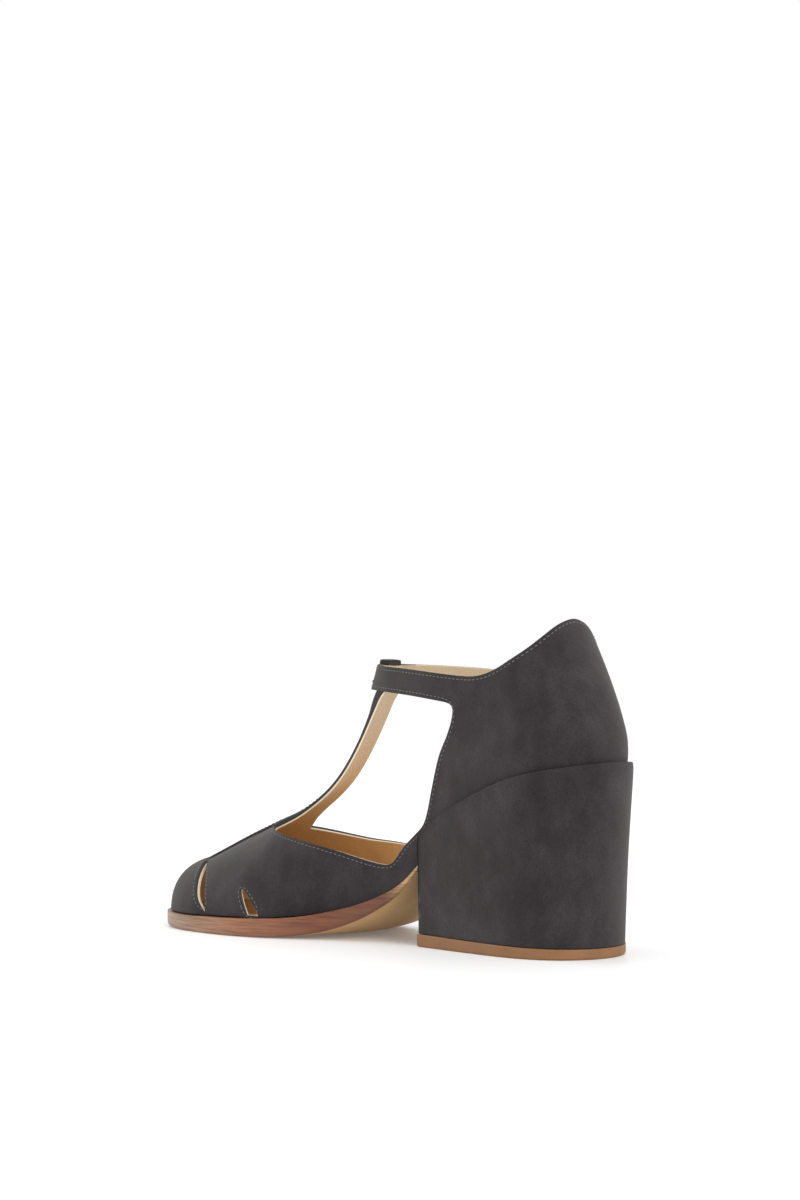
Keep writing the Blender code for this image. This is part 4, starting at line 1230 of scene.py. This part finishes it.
borders = open_edges(sheet)
feather_loop = min(borders, key=lambda loop: sum(sheet.vertices[v].co.z for v in loop) / len(loop)
                   + (0 if len(loop) > 200 else 1))
print("borders:", sorted(len(loop) for loop in borders))

# %% Lay a row of stitches beside an edge
outside = BVHTree.FromPolygons([v.co for v in shell.vertices],
                               [p.vertices for p in shell.polygons if p.material_index == 1])
faces_at = {}
for face in sheet.polygons:
    for v in face.vertices:
        faces_at.setdefault(v, []).append(face)


def beside(loop, inset):
    """The loop moved inward over the outer surface by an inset in millimetres."""
    moved = []
    for k, v in enumerate(loop):
        here = sheet.vertices[v].co
        run = sheet.vertices[loop[(k + 1) % len(loop)]].co - sheet.vertices[loop[k - 1]].co
        normal = sheet.vertices[v].normal
        inward = sum((face.center - here for face in faces_at[v]), Vector())
        inward -= inward.project(run) + inward.project(normal)
        inward.normalize()
        moved.append(outer_at[v] + inward * inset * MM)
    for _ in range(4):
        moved = [(moved[k - 1] + moved[k] * 2 + moved[(k + 1) % len(moved)]) / 4 for k in range(len(moved))]
    return moved


def even_steps(line, pitch, closed=True):
    """Points a pitch apart along a line, with the line's direction at each."""
    points = line + [line[0]] if closed else line
    steps, left = [], 0.0
    for a, b in zip(points, points[1:]):
        length = (b - a).length
        while left < length:
            steps.append((a.lerp(b, left / length), (b - a).normalized()))
            left += pitch
        left -= length
    return steps


STITCH_LONG = 1.5
STITCH_PITCH = 2.2
STITCH_WIDE = 0.40
STITCH_HIGH = 0.18
SPINDLE = ((-1, 0.0), (-0.72, 0.75), (0, 1.0), (0.72, 0.75), (1, 0.0))   # place along it and width
THREAD_SIDES = 6
RIM_INSET = 1.5           # from the rims to their row of stitches
SLIT_INSET = 1.1          # and from the slits
STRIP_INSET = 2.4         # and from the centre strip's edge
LONG_LOOP = 100           # points in a rim's loop, where a slit's has fewer
stitches = bmesh.new()


def sew(line, closed=True):
    """A row of stitches laid on the suede along a line; returns how many."""
    places = even_steps(line, STITCH_PITCH * MM, closed)
    for point, run in places:
        spot, normal, _, _ = outside.find_nearest(point)
        run = (run - run.project(normal)).normalized()
        across = normal.cross(run)
        rings = []
        for t, wide in SPINDLE:
            middle = spot + run * t * STITCH_LONG / 2 * MM + normal * 0.05 * MM
            if wide == 0.0:
                rings.append([stitches.verts.new(middle - normal * 0.1 * MM)])
                continue
            ring = []
            for k in range(THREAD_SIDES):
                angle = 2 * math.pi * k / THREAD_SIDES
                side = across * math.cos(angle) * STITCH_WIDE / 2 + normal * math.sin(angle) * STITCH_HIGH
                ring.append(stitches.verts.new(middle + side * wide * MM))
            rings.append(ring)
        for a, b in zip(rings, rings[1:]):
            for k in range(THREAD_SIDES):
                corners = [a[k % len(a)], a[(k + 1) % len(a)], b[(k + 1) % len(b)], b[k % len(b)]]
                stitches.faces.new(list(dict.fromkeys(corners)))
    return len(places)


total = 0
for loop in borders:
    if loop is not feather_loop:
        total += sew(beside(loop, RIM_INSET if len(loop) > LONG_LOOP else SLIT_INSET))
print("stitches beside the edges:", total)

# %% Stitches along the centre strip
def strip_line(side, inset):
    """The centre strip's edge on the vamp, moved onto the strip."""
    line = []
    for foot, top, _ in toe_stations()[-2:] + vamp_stations():
        x, station = inner_end(foot, top, side)
        x -= side * inset
        line.append(place(x, station, section_height(x, station) + WALL + OVERLAY))
    return line


for side in (1, -1):
    total += sew(strip_line(side, STRIP_INSET), closed=False)
bmesh.ops.recalc_face_normals(stitches, faces=stitches.faces)
thread_data = bpy.data.meshes.new("stitches")
stitches.to_mesh(thread_data)
stitches.free()
thread_data.shade_smooth()
thread_data.materials.append(thread)
stitching = bpy.data.objects.new("stitching", thread_data)
scene.collection.objects.link(stitching)
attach(stitching, "root")
print("stitches in all:", total, "triangles:", sum(len(p.vertices) - 2 for p in thread_data.polygons))

# %% [markdown]
# ## Sole and sock
#
# The outsole is one piece of leather, flat under the forefoot, rising through the arch and pared thin where
# the heel carries it. Its cut edge is stained and waxed, its underside is left natural. The sock lies on it
# inside. Both are lofts between stations, so the same rows that shape the last shape them.

# %% Outsole
RIM_ROUND = 1.4
RECESS_GAP = 0.6          # between the upper and the heel's rim
SEAT_SOLE = 2.0           # thickness of the sole where the heel carries it
LIFT_BACK = 4.2
LIFT_FRONT = 5.2
LIFT_LIP = 0.4
INSOLE_THICK = 1.2
SOLE_UNDER_UPPER = 0.6


def sole_half(station, side):
    """Half width of the outsole."""
    if station >= TOE_START:
        wide = smooth(OUTSOLE, side_name(side), TOE_START)
        reach = min(1.0, (station - TOE_START) / (SOLE_TIP - TOE_START))
        return wide * (1 - reach ** TOE_POWER) ** (1 / TOE_POWER)
    return smooth(OUTSOLE, side_name(side), station)


def seat_outline(offset, stations):
    """Heel seat outline outside the last by an offset, as rows from the back."""
    rows = []
    for angle_step in range(9):
        angle = math.pi / 2 * angle_step / 8
        pair = []
        for side in (1, -1):
            wide = quarter_half(HEEL_WIDE, 0.0, side) + offset
            back = smooth(HEEL_BACK, "from_heel", SEAT_BACK) - offset
            x = side * wide * math.sin(angle) ** (2 / HEEL_POWER)
            station = mix(HEEL_WIDE, back, math.cos(angle) ** (2 / HEEL_POWER))
            pair.append(x + middle_line(station))
        rows.append((station, pair[0], pair[1]))
    for station in stations:
        pair = [smooth(LAST, "middle", station) + side * (quarter_half(station, 0.0, side) + offset)
                for side in (1, -1)]
        rows.append((station, pair[0], pair[1]))
    return rows


ACROSS = (0.0, 0.12, 0.32, 0.5, 0.68, 0.88, 1.0)
SEAT_STATIONS = (42.0, 52.0, 62.0, 72.0, 80.0)


SOLE_STATIONS = (85.0, 91.0, 98.0, 105.0, 112.0, 119.0, 127.0, 135.0, 143.0, 152.0, 162.0, 173.0)


def toe_steps(tip):
    """Stations from the toe's start to a tip, closer together where the outline turns."""
    return tuple(mix(TOE_START, tip, math.sin(math.pi / 2 * k / 11) ** (2 / TOE_POWER)) for k in range(12))


def sole_rows():
    """Stations of the outsole with its medial and lateral edges and thicknesses."""
    rows = []
    for station, medial, lateral in seat_outline(WALL - 0.1, SEAT_STATIONS):
        rows.append((station, medial, lateral, SEAT_SOLE, SEAT_SOLE))
    for station in SOLE_STATIONS + toe_steps(SOLE_TIP):
        rows.append((station, sole_half(station, 1), -sole_half(station, -1),
                     smooth(OUTSOLE, "edge", station), smooth(OUTSOLE, "belly", station)))
    return rows


def sole_top(station):
    return smooth(LAST, "feather", station) - SOLE_UNDER_UPPER


def make_outsole():
    mesh = bmesh.new()
    top, bottom, edges = [], [], {1: [], -1: []}
    for station, medial, lateral, edge, belly in sole_rows():
        high = sole_top(station)
        bevel = min(0.8, abs(medial - lateral) / 6)
        top.append([place(mix(medial, lateral, t), station, high) for t in ACROSS])
        row = []
        for t in ACROSS:
            deep = mix(edge, belly, math.sin(math.pi * t) ** 0.7 if 0 < t < 1 else 0.0)
            x = mix(medial - bevel, lateral + bevel, t)
            row.append(place(x, station, max(0.0, high - deep)))
        bottom.append(row)
        for side, x, under in ((1, medial, row[0]), (-1, lateral, row[-1])):
            low = place(x, station, high - edge + min(0.8, edge / 3))
            edges[side].append([place(x, station, high), low, under])
    add_grid(mesh, top)
    add_grid(mesh, bottom, 1)
    add_grid(mesh, edges[1])
    add_grid(mesh, edges[-1])
    return make_piece(mesh, "leather_outsole", (sole_edge, sole_under), "outsole", 50,
                      edge_round=0.3)


outsole = make_outsole()
print("outsole cells:", len(outsole.data.polygons))

# %% Sock
SOCK_INSET = 0.5          # from the last's bottom edge
SOCK_STATIONS = (88.0, 96.0, 104.0, 112.0, 120.0, 128.0, 136.0, 145.0, 155.0, 165.0, 175.0)


def make_sock():
    mesh = bmesh.new()
    rows = seat_outline(-SOCK_INSET, SEAT_STATIONS)
    tip = LAST_TIP - 0.6
    for station in SOCK_STATIONS:
        rows.append((station, feather_half(station, 1) - SOCK_INSET, -feather_half(station, -1) + SOCK_INSET))
    for station in toe_steps(tip):
        reach = (station - TOE_START) / (tip - TOE_START)
        share = max(0.0, 1 - reach ** TOE_POWER) ** (1 / TOE_POWER)
        rows.append((station, (feather_half(TOE_START, 1) - SOCK_INSET) * share,
                     -(feather_half(TOE_START, -1) - SOCK_INSET) * share))
    faces = {}
    for level, lift in (("low", GAP), ("high", GAP + INSOLE_THICK)):
        faces[level] = [[place(mix(m, l, t), s, sole_top(s) + lift) for t in ACROSS] for s, m, l in rows]
        add_grid(mesh, faces[level])
    for end in (0, -1):
        add_grid(mesh, [[low[end], high[end]] for low, high in zip(faces["low"], faces["high"])])
    return make_piece(mesh, "leather_sock", (sock,), "insole", 50)


print("sock cells:", len(make_sock().data.polygons))

# %% [markdown]
# ## Heel and lift
#
# The heel is a block, D shaped from above, covered with the upper's suede. Its rim rises round the back
# like a cup and holds the upper. The cover is drawn tight, so the block keeps crisp but slightly rounded
# corners. The lift under it is what wears on the ground, and it stands a little proud of the cover.

# %% Covered heel
HEEL_SIDES = (76.0, 68.0, 60.0, 52.0, 44.0, 37.0)


def heel_outline(height, outset=0.0, breast=BREAST):
    """The heel's D outline at a height, from the medial breast corner round the
    back to the lateral one, as (x, station)."""
    back = smooth(HEEL_PLAN, "back", height) - outset
    line = []
    for side in (1, -1):
        wide = smooth(HEEL_PLAN, side_name(side), height) + outset
        narrow = smooth(HEEL_PLAN, "breast_half", height) + outset
        half_line = []
        for station in (breast, *HEEL_SIDES):
            t = ease((station - 30.0) / (breast - 30.0) * 0.62) / ease(0.62)
            half_line.append((side * mix(wide, narrow, t), station))
        for k in range(10):
            angle = math.pi / 2 * k / 9
            half_line.append((side * wide * math.cos(angle), mix(30.0, back, math.sin(angle))))
        if side < 0:
            half_line = half_line[-2::-1]
        line += half_line
    return [(x + middle_line(s), s) for x, s in line]


def recess_outline(share):
    """The upper's outer outline with its clearance, from the medial breast corner
    round the back to the lateral one, at a share of the height from the feather
    line up to the heel's rim."""
    offset = WALL + RECESS_GAP
    back_rise = rim_rise(0.0) * share
    back = smooth(HEEL_BACK, "from_heel", mix(SEAT_BACK, STRAP_LOW, back_rise)) - offset
    line = []
    for side in (1, -1):
        half_line = []
        for station in (BREAST, *HEEL_SIDES):
            rise = rim_rise(station) * share
            half_line.append((side * (quarter_half(station, rise, side) + offset), station))
        for k in range(10):
            angle = math.pi / 2 * k / 9
            station = mix(HEEL_WIDE, back, math.sin(angle) ** (2 / HEEL_POWER))
            wide = quarter_half(HEEL_WIDE, rim_rise(station) * share, side) + offset
            half_line.append((side * wide * math.cos(angle) ** (2 / HEEL_POWER), station))
        if side < 0:
            half_line = half_line[-2::-1]
        line += half_line
    return [(x + middle_line(s), s) for x, s in line]


def rim_rise(station):
    """The heel's rim as a rise over the feather line, in the quarter's own measure."""
    low = smooth(LAST, "feather", station)
    return (smooth(HEEL_RIM, "height", station) - low) / (strap_bottom(station) - low)


def lift_top(station):
    return mix(LIFT_BACK, LIFT_FRONT, station / BREAST)


def make_heel():
    """The block: outer wall, rim, recess for the upper, seat and breast face."""
    mesh = bmesh.new()
    levels = 7
    columns = []
    outlines = [heel_outline(HEEL_TOP * k / levels) for k in range(levels + 1)]
    seat_line = recess_outline(0.0)
    wall_line = recess_outline(0.5)
    rim_line = recess_outline(1.0)
    for p in range(len(seat_line)):
        station_top = outlines[-1][p][1]
        rim = smooth(HEEL_RIM, "height", station_top)
        low = lift_top(outlines[0][p][1]) + GAP
        column_points = []
        for k in range(levels + 1):
            z = mix(low, rim - RIM_ROUND, k / levels)
            x, station = along_height(outlines, p, z)
            column_points.append(place(x, station, z))
        x, station = outlines[-1][p]
        inner_x, inner_station = rim_line[p]
        column_points.append(place(mix(x, inner_x, 0.35), mix(station, inner_station, 0.35), rim))
        column_points.append(place(inner_x, inner_station, rim - 0.3))
        seat_x, seat_station = seat_line[p]
        seat = sole_top(seat_station) - SEAT_SOLE - GAP
        wall_x, wall_station = wall_line[p]
        wall_height = mix(smooth(LAST, "feather", wall_station), rim, 0.5)
        column_points.append(place(wall_x, wall_station, wall_height))
        column_points.append(place(seat_x, seat_station, seat))
        columns.append(column_points)
    add_grid(mesh, columns)
    half = len(columns) // 2
    floor, base = [], []
    for p in range(half + 1):
        for rows, end in ((floor, -1), (base, 0)):
            medial, lateral = columns[p][end], columns[-1 - p][end]
            rows.append([medial.lerp(lateral, t) for t in (0.0, 0.25, 0.5, 0.75, 1.0)])
    add_grid(mesh, floor)
    add_grid(mesh, base)
    front = columns[0][::-1] + base[0][1:-1] + columns[-1] + floor[0][-2:0:-1]
    breast = mesh.faces.new([mesh.verts.new(point) for point in front])
    bmesh.ops.triangulate(mesh, faces=[breast], ngon_method="EAR_CLIP")   # the face is hollow at the top
    return make_piece(mesh, "covered_heel", (suede,), "heel", 50, edge_round=0.45)


def along_height(outlines, p, z):
    """Column p of the stacked outlines at a height."""
    place_in_stack = min(len(outlines) - 1.001, max(0.0, z / HEEL_TOP * (len(outlines) - 1)))
    k = int(place_in_stack)
    t = place_in_stack - k
    low, high = outlines[k][p], outlines[k + 1][p]
    return mix(low[0], high[0], t), mix(low[1], high[1], t)


heel = make_heel()
print("heel cells:", len(heel.data.polygons))

# %% Lift
def make_top_lift():
    mesh = bmesh.new()
    outline = heel_outline(0.0, LIFT_LIP, BREAST + 0.8)
    inner = heel_outline(0.0, LIFT_LIP - 0.6, BREAST + 0.2)
    columns = []
    for (x, station), (bx, bs) in zip(outline, inner):
        columns.append([place(bx, bs, 0.0), place(x, station, 0.7), place(x, station, lift_top(station))])
    add_grid(mesh, columns)
    front = columns[0][::-1] + columns[-1]
    mesh.faces.new([mesh.verts.new(point) for point in front])
    for end in (0, -1):
        mesh.faces.new([mesh.verts.new(points[end]) for points in columns])
    return make_piece(mesh, "heel_lift", (lift_finish,), "top_lift", 30, edge_round=0.25)


print("lift cells:", len(make_top_lift().data.polygons))

# %% [markdown]
# ## Buckle and strap end
#
# The ankle strap closes on the outer side, which the photograph doesn't show, with a small plain frame and
# one prong. The strap's end lies on the strap and tapers to a round tip.

# %% Buckle
BUCKLE_STATION = 71.0
BUCKLE_LONG = 15.0
BUCKLE_HIGH = 14.4
BUCKLE_WIRE = 2.0
STRAP_END_LONG = 44.0
STRAP_END_WIDE = 9.4
STRAP_END_THICK = 1.5
STRAP_END_GAP = 0.45      # under the strap's end, and again under the frame
SQUARENESS = 0.42         # of the frame: 1 is an ellipse, less is squarer


def strap_frame_at(station):
    """Outer face of the ankle strap on the lateral side: a point at mid height,
    the direction that it faces and the direction forward along it."""
    def at(s):
        x = smooth(LAST, "middle", s) - ankle_half(s)
        z = (strap_bottom(s) + smooth(ANKLE_STRAP, "top", s)) / 2
        return place(x, s, z)
    forward = (at(station + 1) - at(station - 1)).normalized()
    facing = forward.cross(Vector((0, 0, 1))).normalized()
    if facing.x > 0:
        facing = -facing
    return at(station) + facing * WALL * MM, facing, forward


def make_strap_end():
    """The loose end of the ankle strap, lying on it, with a round tip."""
    mesh = bmesh.new()
    steps = 14
    inner, outer = [], []
    start = BUCKLE_STATION + 12.0
    for k in range(steps + 1):
        station = start - STRAP_END_LONG * k / steps
        centre, facing, _ = strap_frame_at(station)
        left = STRAP_END_LONG * (steps - k) / steps
        half = STRAP_END_WIDE / 2
        if left < half:
            half = math.sqrt(max(0.05, half ** 2 - (half - left) ** 2))
        rows = []
        for v in (-1.0, 0.0, 1.0):
            rows.append(centre + Vector((0, 0, v * half * MM)))
        inner.append([point + facing * STRAP_END_GAP * MM for point in rows])
        outer.append([point + facing * (STRAP_END_GAP + STRAP_END_THICK) * MM for point in rows])
    add_grid(mesh, inner)
    add_grid(mesh, outer)
    for v in (0, -1):
        add_grid(mesh, [[a[v], b[v]] for a, b in zip(inner, outer)])
    for k in (0, -1):
        add_grid(mesh, [inner[k], outer[k]])
    return make_piece(mesh, "loose_strap_end", (suede,), "strap_end", 40, crease=0.7)


def make_buckle():
    """A plain frame with its prong, lying flat over the strap end."""
    centre, facing, forward = strap_frame_at(BUCKLE_STATION)
    up = facing.cross(forward)
    if up.z < 0:
        up = -up
    lift = STRAP_END_GAP + STRAP_END_THICK + STRAP_END_GAP + BUCKLE_WIRE / 2
    middle = centre + facing * lift * MM
    mesh = bmesh.new()
    rounds = 20
    sides = 8
    rings = []
    for k in range(rounds):
        angle = 2 * math.pi * k / rounds
        u = math.copysign(abs(math.cos(angle)) ** SQUARENESS, math.cos(angle)) * BUCKLE_LONG / 2
        v = math.copysign(abs(math.sin(angle)) ** SQUARENESS, math.sin(angle)) * BUCKLE_HIGH / 2
        rings.append((u, v))
    loops = []
    for k in range(rounds):
        before, here, after = rings[k - 1], rings[k], rings[(k + 1) % rounds]
        run = Vector((after[0] - before[0], after[1] - before[1])).normalized()
        out = forward * run.y - up * run.x
        spot = middle + (forward * here[0] + up * here[1]) * MM
        loop = []
        for n in range(sides):
            a = 2 * math.pi * n / sides
            loop.append(spot + (out * math.cos(a) + facing * math.sin(a)) * BUCKLE_WIRE / 2 * MM)
        loops.append(loop + [loop[0]])
    add_grid(mesh, loops + [loops[0]])
    make_piece(mesh, "buckle_wire_frame", (brass,), "buckle_frame", 60,
               crease=0.0, levels=1)

    mesh = bmesh.new()
    length = (BUCKLE_LONG + 1.2) * MM
    bmesh.ops.create_cube(mesh, size=1.0)
    bmesh.ops.scale(mesh, vec=Vector((length, 1.3 * MM, 1.5 * MM)), verts=mesh.verts)
    turn = Vector((1, 0, 0)).rotation_difference(forward)
    bmesh.ops.rotate(mesh, verts=mesh.verts, cent=(0, 0, 0), matrix=turn.to_matrix())
    bmesh.ops.translate(mesh, verts=mesh.verts, vec=middle + facing * 0.75 * MM)
    make_piece(mesh, "buckle_prong", (brass,), None, 30, crease=0.6)


make_strap_end()
make_buckle()
print("strap end and buckle stand at station", BUCKLE_STATION)
